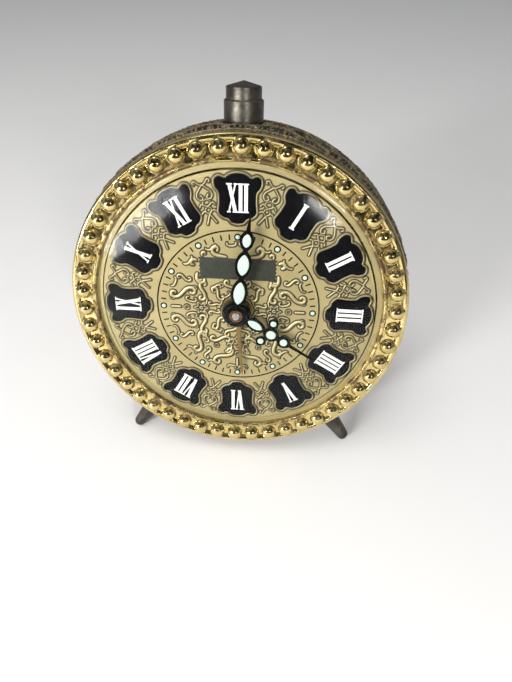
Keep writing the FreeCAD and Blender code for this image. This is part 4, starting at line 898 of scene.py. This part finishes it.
def build_dial(board):
    angles, rings = 1500, 300
    sheet = Sheet()
    radii = np.linspace(DIAL_HOLE, DIAL_RADIUS, rings + 1)
    turns = np.linspace(0, TAU, angles, endpoint=False)
    x = radii[:, None] * np.sin(turns)[None, :]
    z = radii[:, None] * np.cos(turns)[None, :]
    relief = board.sample(board.relief, x, z)
    gap = board.sample(board.gap, x, z)
    # lee is how much higher the ground is a little to the upper left: painted shade on the lower-right side
    # of every ridge.
    lee = board.sample(board.relief, x - LEE_REACH, z + LEE_REACH) - relief
    # creases darken a band along both sides of every line.
    creases = np.clip(1.9 - np.abs(gap - 0.08) / 0.12, 0, 1)
    stain = RIM_STAIN * np.clip((relief - RIDGE_HEIGHT) / 0.02, 0, 1)
    # The shade mask adds the bands along the lines, the stained tablet rims and the painted shade.
    shade = np.clip(creases + stain + np.clip(lee / LEE_DEPTH, 0, 1), 0, 1)
    # high is a painted highlight on the upper-left side of every ridge, facing the light.
    high = np.clip(-0.8 * lee / LEE_DEPTH, 0, 1)
    rows = np.stack((x, -relief, z), axis=2)
    sheet.add_grid([[tuple(point) for point in row] for row in rows.tolist()], close_columns=True)
    start = len(sheet.verts)
    for radius in (DIAL_RADIUS, DIAL_HOLE):
        for turn in turns:
            sheet.verts.append((radius * math.sin(turn), DIAL_THICKNESS, radius * math.cos(turn)))
    outer = rings * angles
    for step in range(angles):
        side = (step + 1) % angles
        sheet.faces.append((outer + step, outer + side, start + side, start + step))
        sheet.faces.append((start + step, start + side, start + angles + side, start + angles + step))
        sheet.faces.append((start + angles + step, start + angles + side, side, step))
    piece = add_piece("embossed_dial", sheet.verts, sheet.faces, "case", CHAMPAGNE)
    tail = [0.0] * (2 * angles)
    set_mask(piece, "shade", shade.ravel().tolist() + tail)
    # On the dial the relief mask holds the painted highlight.
    set_mask(piece, "relief", high.ravel().tolist() + tail)
    sharpen(piece, 70)
    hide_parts("dial_plate")


def polygon_tablet(sheet, outline, centre, shrink_and_y):
    """Add a rounded tablet over an outline: rings shrunk towards a centre at given heights."""
    rows = []
    for shrink, y in shrink_and_y:
        rows.append([(centre[0] + (x - centre[0]) * shrink, y, centre[1] + (z - centre[1]) * shrink)
                     for x, z in outline])
    base = len(sheet.verts)
    sheet.add_grid(rows, close_columns=True)
    width = len(outline)
    last = base + (len(rows) - 1) * width
    tip = len(sheet.verts)
    sheet.verts.append((centre[0], shrink_and_y[-1][1], centre[1]))
    for step in range(width):
        sheet.faces.append((last + step, last + (step + 1) % width, tip))
    tip = len(sheet.verts)
    sheet.verts.append((centre[0], shrink_and_y[0][1], centre[1]))
    for step in range(width):
        sheet.faces.append((base + (step + 1) % width, base + step, tip))


def build_cartouches():
    sheet = Sheet()
    outline = cartouche_outline()
    for hour in range(HOURS):
        turned = spun(outline, 30 * hour)
        centre = spun([(0, 25.2)], 30 * hour)[0]
        polygon_tablet(sheet, turned, centre,
                       ((0.99, 0.05), (0.99, -0.06), (0.96, -0.10), (0.88, -0.13), (0.5, -0.16)))
    piece = add_piece("enamel_cartouches", sheet.verts, sheet.faces, "case", ENAMEL)
    sharpen(piece, 50)


# Strokes of the Roman numerals: (bottom x, top x, width) within a letter, and each letter's width.
LETTERS = {
    "I": (1.25, ((0.62, 0.62, 0.80),)),
    "V": (2.35, ((1.25, 0.50, 0.80), (1.25, 1.98, 0.34))),
    "X": (2.55, ((2.02, 0.55, 0.80), (0.50, 2.02, 0.34))),
}
NUMERALS = ("I", "II", "III", "IIII", "V", "VI", "VII", "VIII", "IX", "X", "XI", "XII")
NUMERAL_FOOT = 22.3
NUMERAL_TOP = 28.2
SERIF_THICK = 0.24
SERIF_REACH = 0.22
PRINT_FRONT = -0.24
PRINT_BACK = -0.10


def add_prism(sheet, corners, front, back):
    """Add a thin flat-topped block over a polygon."""
    start = len(sheet.verts)
    count = len(corners)
    sheet.verts.extend((x, front, z) for x, z in corners)
    sheet.verts.extend((x, back, z) for x, z in corners)
    sheet.faces.append(tuple(start + step for step in range(count)))
    sheet.faces.append(tuple(start + count + step for step in reversed(range(count))))
    for step in range(count):
        side = (step + 1) % count
        sheet.faces.append((start + step, start + count + step, start + count + side, start + side))


def add_numeral(sheet, text, hour):
    squeeze = 0.90 if len(text) < 4 else 0.82
    total = sum(LETTERS[letter][0] for letter in text) * squeeze
    left = -total / 2
    for letter in text:
        width, strokes = LETTERS[letter]
        for bottom, top, thick in strokes:
            half = thick / 2 * squeeze
            low, high = left + bottom * squeeze, left + top * squeeze
            stroke = [(low - half, NUMERAL_FOOT), (low + half, NUMERAL_FOOT),
                      (high + half, NUMERAL_TOP), (high - half, NUMERAL_TOP)]
            add_prism(sheet, spun(stroke, hour * 30), PRINT_FRONT, PRINT_BACK)
            for end, middle, inward in ((NUMERAL_FOOT, low, 1), (NUMERAL_TOP, high, -1)):
                if letter == "V" and inward == 1:
                    continue
                reach = half + SERIF_REACH
                serif = [(middle - reach, end), (middle + reach, end),
                         (middle + reach, end + SERIF_THICK * inward),
                         (middle - reach, end + SERIF_THICK * inward)]
                if inward == -1:
                    serif.reverse()
                add_prism(sheet, spun(serif, hour * 30), PRINT_FRONT - 0.01, PRINT_BACK)
        left += width * squeeze


def build_numerals():
    sheet = Sheet()
    for hour, text in enumerate(NUMERALS, start=1):
        add_numeral(sheet, text, hour)
    add_piece("roman_numerals", sheet.verts, sheet.faces, "case", WHITE, smooth=False)


def build_minute_ring():
    ink = Sheet()
    for minute in range(60):
        if minute % 5:
            tick = [(-0.15, MINUTE_CIRCLE - 0.6), (0.15, MINUTE_CIRCLE - 0.6),
                    (0.15, MINUTE_CIRCLE + 0.6), (-0.15, MINUTE_CIRCLE + 0.6)]
            add_prism(ink, spun(tick, 6 * minute), -0.035, 0.05)
        else:
            centre = spun([(0, MINUTE_CIRCLE)], 6 * minute)[0]
            add_prism(ink, circle_points(centre, 0.78, 28)[:-1], -0.035, 0.05)
    ring = lathe(((RING_LINE - 0.16, 0.05), (RING_LINE - 0.16, -0.03), (RING_LINE, -0.045),
                  (RING_LINE + 0.16, -0.03), (RING_LINE + 0.16, 0.05)), 360)
    offset = len(ink.verts)
    ink.verts.extend(ring.verts)
    ink.faces.extend(tuple(index + offset for index in face) for face in ring.faces)
    add_piece("minute_print", ink.verts, ink.faces, "case", INK, smooth=False)
    dots = Sheet()
    for hour in range(HOURS):
        centre = spun([(0, MINUTE_CIRCLE)], 30 * hour)[0]
        polygon_tablet(dots, circle_points(centre, 0.47, 28)[:-1], centre,
                       ((1.0, 0.0), (1.0, -0.07), (0.9, -0.12), (0.6, -0.16), (0.3, -0.175)))
    add_piece("minute_dots", dots.verts, dots.faces, "case", LUME)


def build_plaque():
    """Build the blank name plaque with its torn-looking notched ends."""
    right = [(PLAQUE_HALF, PLAQUE_LOW)]
    notches = 5
    for notch in range(notches * 2 + 1):
        share = notch / (notches * 2)
        step_in = 0.35 if notch % 2 else 0.0
        right.append((PLAQUE_HALF - 0.1 - step_in,
                      PLAQUE_LOW + 0.25 + share * (PLAQUE_HIGH - PLAQUE_LOW - 0.5)))
    right.append((PLAQUE_HALF, PLAQUE_HIGH))
    outline = right + [(-x, z) for x, z in reversed(right)]
    sheet = Sheet()
    centre = (0, (PLAQUE_LOW + PLAQUE_HIGH) / 2)
    polygon_tablet(sheet, outline, centre, ((1.0, 0.05), (1.0, -0.05), (0.97, -0.08), (0.9, -0.08)))
    piece = add_piece("blank_plaque", sheet.verts, sheet.faces, "case", PLAQUE)
    sharpen(piece, 40)


# ---------------------------------------------------------------------------------------------
# Hands
# ---------------------------------------------------------------------------------------------

MINUTE_ANGLE = 7.4
HOUR_ANGLE = 121.7
# Rear and front face of each hand, in front of the dial.
MINUTE_LEVELS = (-2.95, -3.30)
HOUR_LEVELS = (-2.10, -2.45)
BORDER = 0.6

# Luminous inserts: (distance along the hand, sideways, length, width)
MINUTE_INSERTS = ((5.5, 0, 5.3, 2.4), (12.1, 0, 4.7, 2.4), (17.5, 0, 2.9, 1.8))
HOUR_INSERTS = ((4.95, 0, 3.8, 1.7), (9.3, 0, 2.2, 2.1), (12.75, 0, 1.7, 1.7),
                (8.2, 2.67, 1.35, 1.35), (8.2, -2.67, 1.35, 1.35))


OVAL_POINTING = 0.72


def oval_half(along, middle, length, width):
    """Return half the width of a slightly pointed oval at a distance along the hand."""
    share = (along - middle) / (length / 2)
    return width / 2 * max(0.0, 1 - share * share) ** OVAL_POINTING


def hand_half_width(along, inserts, necks, tip, tip_start, tip_half, point=0.05):
    """Return half of a hand's width: insert borders, joined by necks, ending in a needle."""
    half = 0.0
    for middle, side, length, width in inserts:
        if side == 0:
            half = max(half, oval_half(along, middle, length + 3.2 * BORDER, width + 2 * BORDER))
    if along < tip_start:
        half = max(half, necks)
    else:
        share = (tip - along) / (tip - tip_start)
        half = max(half, point + (tip_half - point) * share)
    return half


def add_blade(sheet, stations, levels, sideways=0.0, bevel=0.16, across=False):
    """Add a flat blade with bevelled edges; stations are (distance along, half width)."""
    back, front = levels
    shoulder = front + 0.11
    rows = []
    for along, half in stations:
        edge = min(bevel, half * 0.6)
        section = ((-half, back), (-half, shoulder), (-half + edge, front), (half - edge, front),
                   (half, shoulder), (half, back))
        row = []
        for side, y in section:
            row.append((along, y, side) if across else (side + sideways, y, along))
        rows.append(row)
    base = len(sheet.verts)
    sheet.add_grid(rows, close_columns=True)
    last = base + (len(rows) - 1) * 6
    sheet.faces.append(tuple(base + index for index in range(6)))
    sheet.faces.append(tuple(last + index for index in reversed(range(6))))


def add_insert(sheet, place, front):
    """Add one domed luminous insert standing a little proud of its hand."""
    middle, side, length, width = place
    outline = []
    count = 48
    for step in range(count):
        angle = TAU * step / count
        along = middle + length / 2 * math.cos(angle)
        half = oval_half(along, middle, length, width) if length > 2.5 else width / 2 * abs(math.sin(angle))
        outline.append((side + math.copysign(half, math.sin(angle)), along))
    polygon_tablet(sheet, outline, (side, middle),
                   ((1.0, front + 0.05), (1.0, front - 0.02), (0.93, front - 0.07),
                    (0.75, front - 0.12), (0.4, front - 0.15)))


def merge(sheet, other):
    offset = len(sheet.verts)
    sheet.verts.extend(other.verts)
    sheet.faces.extend(tuple(index + offset for index in face) for face in other.faces)


def spaced(start, finish, step):
    count = int(math.ceil((finish - start) / step))
    return [start + (finish - start) * index / count for index in range(count + 1)]


def hub_ring(levels, bore, radius):
    """Return a hand's hub: a ring with a softly domed front."""
    back, front = levels
    return lathe(((bore, back + 0.03), (radius - 0.07, back + 0.03), (radius, back - 0.12),
                  (radius - 0.07, front - 0.02), (radius - 0.35, front - 0.13),
                  (radius - 0.8, front - 0.17), (bore, front - 0.17)), 96)


def build_minute_hand():
    sheet = Sheet()
    tip = 23.1
    stations = [(along, hand_half_width(along, MINUTE_INSERTS, 0.55, tip, 18.6, 0.62))
                for along in spaced(1.6, tip, 0.08)]
    add_blade(sheet, stations, MINUTE_LEVELS)
    merge(sheet, hub_ring(MINUTE_LEVELS, 1.2, 2.62))
    turn = turned_clockwise(MINUTE_ANGLE)
    hand = add_piece("minute_hand_blade", sheet.verts, sheet.faces, "minute_hand_group", BLACK,
                     local=turn)
    sharpen(hand, 32)
    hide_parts("minute_hand")
    fill = Sheet()
    for place in MINUTE_INSERTS:
        add_insert(fill, place, MINUTE_LEVELS[1])
    lume = add_piece("minute_hand_fill", fill.verts, fill.faces, "minute_hand_group", LUME,
                     local=turn)
    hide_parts("minute_hand_lume")


def build_hour_hand():
    sheet = Sheet()
    tip = 20.6
    stations = [(along, hand_half_width(along, HOUR_INSERTS, 0.42, tip, 13.6, 0.42, 0.2))
                for along in spaced(2.4, tip, 0.08)]
    add_blade(sheet, stations, HOUR_LEVELS)
    for side in (1, -1):
        disc = [(along, oval_half(along, 8.2, 2.45, 2.45) + 0.02) for along in spaced(6.99, 9.41, 0.06)]
        add_blade(sheet, disc, HOUR_LEVELS, sideways=side * 2.67)
    bar = [(across, 0.42) for across in spaced(-2.6, 2.6, 0.2)]
    joint = Sheet()
    add_blade(joint, bar, (HOUR_LEVELS[0], HOUR_LEVELS[1] + 0.02), across=True)
    joint.verts = [(x, y, z + 8.75) for x, y, z in joint.verts]
    merge(sheet, joint)
    merge(sheet, hub_ring(HOUR_LEVELS, 2.2, 3.27))
    turn = turned_clockwise(HOUR_ANGLE)
    hand = add_piece("hour_hand_blade", sheet.verts, sheet.faces, "hour_hand_group", BLACK,
                     local=turn)
    sharpen(hand, 32)
    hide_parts("hour_hand")
    fill = Sheet()
    for place in HOUR_INSERTS:
        add_insert(fill, place, HOUR_LEVELS[1])
    lume = add_piece("hour_hand_fill", fill.verts, fill.faces, "hour_hand_group", LUME,
                     local=turn)
    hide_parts("hour_hand_lume")


# ---------------------------------------------------------------------------------------------
# Crystal
# ---------------------------------------------------------------------------------------------

def build_crystal():
    """Build the domed crystal: rolled shoulder, shallow dome, even wall."""
    outer = [(32.3, 0.35), (32.35, -0.2), (31.5, -0.35)]
    shoulder_radius = 30.9
    edge_y, apex_y = -2.9, -6.75
    rise = edge_y - apex_y
    curve = (shoulder_radius ** 2 + rise ** 2) / (2 * rise)
    dome = []
    steps = 60
    for step in range(steps + 1):
        radius = shoulder_radius * (1 - step / steps)
        dome.append((radius, apex_y + curve - math.sqrt(curve ** 2 - radius ** 2)))
    corner = [(31.15, -0.9), (31.12, -1.7)]
    wall = 1.0
    inner = [(max(radius - wall * 0.6, 0.0), y + wall) for radius, y in reversed(dome)]
    inner = [(0.0, apex_y + wall)] + [point for point in inner if point[0] > 0.5]
    tail = [(30.0, -0.7), (30.0, 0.35)]
    profile = rounded(outer + corner + dome, 0.5, 5) + inner + tail
    closed = profile + [profile[0]]
    sheet = Sheet()
    rows = []
    segments = 192
    for radius, y in closed:
        rows.append([(radius * math.sin(TAU * step / segments), y,
                      radius * math.cos(TAU * step / segments)) for step in range(segments)])
    sheet.add_grid(rows, close_columns=True)
    piece = add_piece("domed_crystal", sheet.verts, sheet.faces, "case", CRYSTAL)
    merge_points(piece, 0.000002)
    sharpen(piece, 50)
    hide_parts("crystal")


def merge_points(piece, distance):
    """Join vertices that fall on the same point, so the surface closes."""
    work = bmesh.new()
    work.from_mesh(piece.data)
    bmesh.ops.remove_doubles(work, verts=work.verts, dist=distance)
    bmesh.ops.recalc_face_normals(work, faces=work.faces)
    work.to_mesh(piece.data)
    work.free()


# ---------------------------------------------------------------------------------------------
# Band: pressed brocade strip round the drum
# ---------------------------------------------------------------------------------------------

BAND_INNER = 37.15
BAND_GROUND = 38.0
BAND_FRONT = 2.95
BAND_REAR = 14.95
BAND_RELIEF = 0.85
MOTIFS = 16
BUTTON_Y = 10.9
COLLAR_OPENING = 4.2


def draw_band_board():
    around = TAU * BAND_GROUND
    width = BAND_REAR - BAND_FRONT
    board = Board(around, width, 0.12, centred=False, wrap=True)
    pitch = around / MOTIFS
    middle = width / 2
    for motif in range(MOTIFS):
        x = pitch * (motif + 0.5)
        for side in (1, -1):
            for flip in (1, -1):
                def put(points, size):
                    board.line([(x + px * side, middle + pz * flip) for px, pz in points], size, 1.0, 0.3)
                put(scroll((3.1, 2.4), 35, 9.0, 0.75), 0.85)
                put(scroll((5.4, 4.2), -25, 6.5, -0.8), 0.7)
                put(scroll((1.5, 4.2), 100, 5.0, -0.8, 0.3), 0.7)
                put(scroll((6.1, 1.6), 60, 4.5, 0.8), 0.7)
                put(through(((0.8, 0.5), (2.2, 1.1), (3.4, 0.3))), 0.9)
                put(through(((7.4, 0.4), (6.9, 2.2), (7.4, 3.6))), 0.8)
        for petal in range(6):
            angle = TAU * petal / 6
            board.stamp(x + 0.95 * math.cos(angle), middle + 0.95 * math.sin(angle), 0.5, 1.0)
        board.stamp(x, middle, 0.45, 1.0)
        board.stamp(x + pitch / 2, middle, 0.8, 1.0)
    for edge in (0.45, width - 0.45):
        board.line([(0.0, edge), (around, edge)], 0.5, 0.9)
    beads = 220
    for bead in range(beads):
        for edge in (1.15, width - 1.15):
            board.stamp(around * bead / beads, edge, 0.36, 0.85)
    return board


def walled_shell(outer, inner, kept):
    """Join two grids that wrap round, with walls at their ends and round the cells left out.

    Returns the sheet and, for each of its vertices, the place it had in outer followed by inner.
    """
    width = len(outer[0])
    depth = len(outer) - 1
    behind = len(outer) * width
    faces = []
    for row in range(depth):
        for column in range(width):
            if not kept[row, column]:
                continue
            side = (column + 1) % width
            corners = (row * width + column, row * width + side,
                       (row + 1) * width + side, (row + 1) * width + column)
            faces.append(corners)
            faces.append(tuple(corner + behind for corner in reversed(corners)))
            open_edges = (row == 0 or not kept[row - 1, column], not kept[row, side],
                          row == depth - 1 or not kept[row + 1, column], not kept[row, column - 1])
            for edge, is_open in enumerate(open_edges):
                if is_open:
                    first, second = corners[edge], corners[(edge + 1) % 4]
                    faces.append((second, first, first + behind, second + behind))
    points = [point for row in outer + inner for point in row]
    used = sorted({corner for face in faces for corner in face})
    renumbered = {corner: index for index, corner in enumerate(used)}
    sheet = Sheet()
    sheet.verts = [points[corner] for corner in used]
    sheet.faces = [tuple(renumbered[corner] for corner in face) for face in faces]
    return sheet, used


def build_band():
    board = draw_band_board()
    around_steps, across_steps = 1800, 96
    turns = np.linspace(0, TAU, around_steps, endpoint=False)
    across = np.linspace(0, BAND_REAR - BAND_FRONT, across_steps + 1)
    x = np.broadcast_to(turns[None, :] * BAND_GROUND, (across_steps + 1, around_steps))
    z = np.broadcast_to(across[:, None], x.shape)
    relief = board.sample(board.relief, x, z)
    rows = []
    high = []
    for row in range(across_steps + 1):
        line = []
        y = BAND_FRONT + across[row]
        for column in range(around_steps):
            turn = turns[column]
            spot = Vector((math.sin(turn) * 38, y, math.cos(turn) * 38))
            worn = 0.5 + 0.5 * noise.noise(spot * 1.1)
            fine = noise.noise(spot * 2.6)
            lift = relief[row, column] * (0.75 + 0.25 * worn) + 0.10 * fine
            lift = min(max(lift, 0.0), 1.0)
            slope = 0.75 * (1 - min(across[row] / 1.3, 1.0))
            radius = BAND_GROUND - slope + BAND_RELIEF * lift
            line.append((radius * math.sin(turn), y, radius * math.cos(turn)))
            high.append(lift)
        rows.append(line)
    inner = [[(BAND_INNER * math.sin(turn), BAND_FRONT + y, BAND_INNER * math.cos(turn))
              for turn in turns] for y in across]
    high.extend([0.0] * (len(inner) * around_steps))
    middle_turns = turns + math.pi / around_steps
    middle_y = BAND_FRONT + (across[:-1] + across[1:]) / 2
    sideways = BAND_GROUND * np.sin(middle_turns)[None, :]
    away = np.hypot(sideways, (middle_y - BUTTON_Y)[:, None])
    kept = (away > COLLAR_OPENING) | (np.cos(middle_turns)[None, :] < 0)
    sheet, used = walled_shell(rows, inner, kept)
    piece = add_piece("brocade_band", sheet.verts, sheet.faces, "case", BAND)
    set_mask(piece, "relief", [high[place] for place in used])
    sharpen(piece, 75)
    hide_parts("filigree_band")


# Coil spring between the collar's floor and the underside of the stop button.
SPRING_LOW = 38.42
SPRING_HIGH = 43.88
COIL_RADIUS = 2.0
WIRE_RADIUS = 0.25
COIL_TURNS = 4


def build_button_spring():
    """Build the coil spring that sits under the stop button."""
    steps, sides = 24 * COIL_TURNS, 12
    low, high = SPRING_LOW + WIRE_RADIUS, SPRING_HIGH - WIRE_RADIUS
    rows = []
    for step in range(steps + 1):
        turn = TAU * COIL_TURNS * step / steps
        middle = low + (high - low) * step / steps
        row = []
        for side in range(sides):
            angle = TAU * side / sides
            radius = COIL_RADIUS + WIRE_RADIUS * math.cos(angle)
            row.append((radius * math.sin(turn), BUTTON_Y + radius * math.cos(turn),
                        middle + WIRE_RADIUS * math.sin(angle)))
        rows.append(row)
    sheet = Sheet()
    sheet.add_grid(rows, close_columns=True)
    sheet.faces.append(tuple(reversed(range(sides))))
    sheet.faces.append(tuple(steps * sides + side for side in range(sides)))
    piece = add_piece("button_coil", sheet.verts, sheet.faces, "case", SPRING)
    sharpen(piece, 60)
    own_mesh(piece)
    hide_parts("stop_button_spring")


# ---------------------------------------------------------------------------------------------
# Finishes of the pieces carried over from the frame
# ---------------------------------------------------------------------------------------------

FINISHES = (
    (PLAIN_GILT, ("case_drum", "rear_cover", "collar_nut")),
    (BRONZE, ("stop_button", "button_collar", "left_foot", "right_foot")),
    (AGED_BRASS, ("alarm_hand",)),
    (CHAMPAGNE, ("glass_ring",)),
    (DARK_COPPER, ("hand_washer",)),
    (COPPER, ("alarm_set_knob", "time_set_knob")),
    (NICKEL, ("time_key", "alarm_key", "rear_cover_screws", "foot_nuts", "button_clip",
              "regulator_lever")),
    (SPRING, ("time_mainspring", "alarm_mainspring", "hairspring", "stop_button_spring")),
    (PLATE_BRASS, ("front_plate", "back_plate", "plate_pillars", "centre_wheel", "third_wheel",
                   "fourth_wheel", "time_great_wheel", "alarm_great_wheel", "hour_wheel",
                   "minute_wheel", "alarm_wheel", "balance_wheel", "escape_wheel",
                   "alarm_escape_wheel")),
)


def finish_cad_nodes():
    chosen = {}
    for material, names in FINISHES:
        for name in names:
            chosen[name] = material
    for name, node in frame["nodes"].items():
        node.data.materials.clear()
        node.data.materials.append(chosen.get(name, STEEL))


# ---------------------------------------------------------------------------------------------
# Studio and camera
# ---------------------------------------------------------------------------------------------

CAMERA_PLACE = Vector((11.956, -106.35, 53.12))
CAMERA_FORWARD = Vector((-0.06179, 0.86531, -0.49742))
CAMERA_UP = Vector((-0.05764, 0.49444, 0.86730))
CAMERA_LENS = 27.66


def build_floor():
    half = 3.0
    mesh = bpy.data.meshes.new("studio_floor")
    mesh.from_pydata([(-half, -half, 0), (half, -half, 0), (half, half, 0), (-half, half, 0)], [],
                     [(0, 1, 2, 3)])
    floor = bpy.data.objects.new("studio_floor", mesh)
    bpy.context.scene.collection.objects.link(floor)
    mesh.materials.append(floor_paint())


def add_panel(name, place, target, width, height, power, roll=0, colour=(1, 1, 1)):
    """Add a soft light facing a target; roll leans its upper end to the left, in degrees."""
    light = bpy.data.lights.new(name, "AREA")
    light.shape = "RECTANGLE"
    light.size, light.size_y = width, height
    light.energy = power
    light.color = colour
    lamp = bpy.data.objects.new(name, light)
    lamp.location = place
    facing = (Vector(target) - Vector(place)).to_track_quat("-Z", "Y")
    lamp.rotation_euler = (facing @ Quaternion((0, 0, 1), math.radians(roll))).to_euler()
    bpy.context.scene.collection.objects.link(lamp)


def mirrored_towards(x, z):
    """Return a spot on the crystal and the direction in which the camera sees it reflect."""
    dome_curve = 124.0
    normal = Vector((x, 0, z)) / dome_curve
    normal.y = -math.sqrt(1 - normal.length_squared)
    spot = Vector((x, -3.5, z))
    ray = (spot - CAMERA_PLACE).normalized()
    bounce = ray - 2 * ray.dot(normal) * normal
    return CLOCK @ spot, (CLOCK.to_3x3() @ bounce).normalized()


def add_mirrored_panel(name, x, z, distance, width, height, power, roll):
    """Add a soft light where its reflection falls on a chosen spot of the crystal."""
    spot, direction = mirrored_towards(x, z)
    add_panel(name, spot + direction * distance, spot, width, height, power, roll)


def build_dark_card():
    """Add the dark shape behind the camera that polished beads mirror; nothing else sees it."""
    half_width, half_height = 0.19, 0.16
    place = CLOCK @ (CAMERA_PLACE - CAMERA_FORWARD * 12 + Vector((14, 0, -6)))
    back = -(CLOCK.to_3x3() @ CAMERA_FORWARD).normalized()
    side = Vector((0, 0, 1)).cross(back).normalized()
    up = back.cross(side)
    corners = [place + side * across * half_width + up * along * half_height
               for across, along in ((-1, -1), (1, -1), (1, 1), (-1, 1))]
    mesh = bpy.data.meshes.new("dark_card")
    mesh.from_pydata(corners, [], [(0, 1, 2, 3)])
    card = bpy.data.objects.new("dark_card", mesh)
    bpy.context.scene.collection.objects.link(card)
    mesh.materials.append(gloss_black_paint("card_black", (0.01, 0.01, 0.01)))
    card.visible_camera = False
    card.visible_diffuse = False
    card.visible_shadow = False
    card.visible_transmission = False


def build_world():
    world = bpy.data.worlds.new("studio")
    bpy.context.scene.world = world
    world.use_nodes = True
    nodes, links = world.node_tree.nodes, world.node_tree.links
    place = nodes.new("ShaderNodeTexCoord")
    split = nodes.new("ShaderNodeSeparateXYZ")
    links.new(place.outputs["Generated"], split.inputs[0])
    ramp = nodes.new("ShaderNodeValToRGB")
    ramp.color_ramp.elements[0].position = 0.0
    ramp.color_ramp.elements[0].color = (0.10, 0.10, 0.105, 1)
    ramp.color_ramp.elements[1].position = 0.9
    ramp.color_ramp.elements[1].color = (0.72, 0.74, 0.77, 1)
    links.new(split.outputs["Z"], ramp.inputs["Fac"])
    links.new(ramp.outputs["Color"], nodes["Background"].inputs["Color"])
    nodes["Background"].inputs["Strength"].default_value = 0.70


def build_studio():
    build_floor()
    build_world()
    aim = (0, 0, 0.045)
    add_mirrored_panel("window_left", -19.5, 20.5, 0.42, 0.05, 0.24, 2.6, -42)
    add_mirrored_panel("window_right", 17.5, 24.0, 0.42, 0.03, 0.09, 0.8, 42)
    add_panel("soft_top", (-0.15, -0.20, 0.75), aim, 0.5, 0.4, 2.9, colour=(1.0, 0.99, 0.97))
    build_dark_card()


def build_camera():
    data = bpy.data.cameras.new("photo_camera")
    data.lens = CAMERA_LENS
    data.sensor_width = 36
    data.clip_start = 0.001
    camera = bpy.data.objects.new("photo_camera", data)
    forward = (CLOCK.to_3x3() @ CAMERA_FORWARD).normalized()
    upward = (CLOCK.to_3x3() @ CAMERA_UP).normalized()
    right = forward.cross(upward).normalized()
    upward = right.cross(forward)
    camera.matrix_world = Matrix.Translation(CLOCK @ CAMERA_PLACE) @ Matrix(
        (right, upward, -forward)).transposed().to_4x4()
    bpy.context.scene.collection.objects.link(camera)
    bpy.context.scene.camera = camera


build_bezel()
DIAL_BOARD = draw_dial_board()
build_dial(DIAL_BOARD)
build_cartouches()
build_numerals()
build_minute_ring()
build_plaque()
build_minute_hand()
build_hour_hand()
build_crystal()
build_band()
build_button_spring()
finish_cad_nodes()
build_studio()
build_camera()
bpy.context.scene.view_settings.view_transform = "Standard"

bpy.context.view_layer.update()
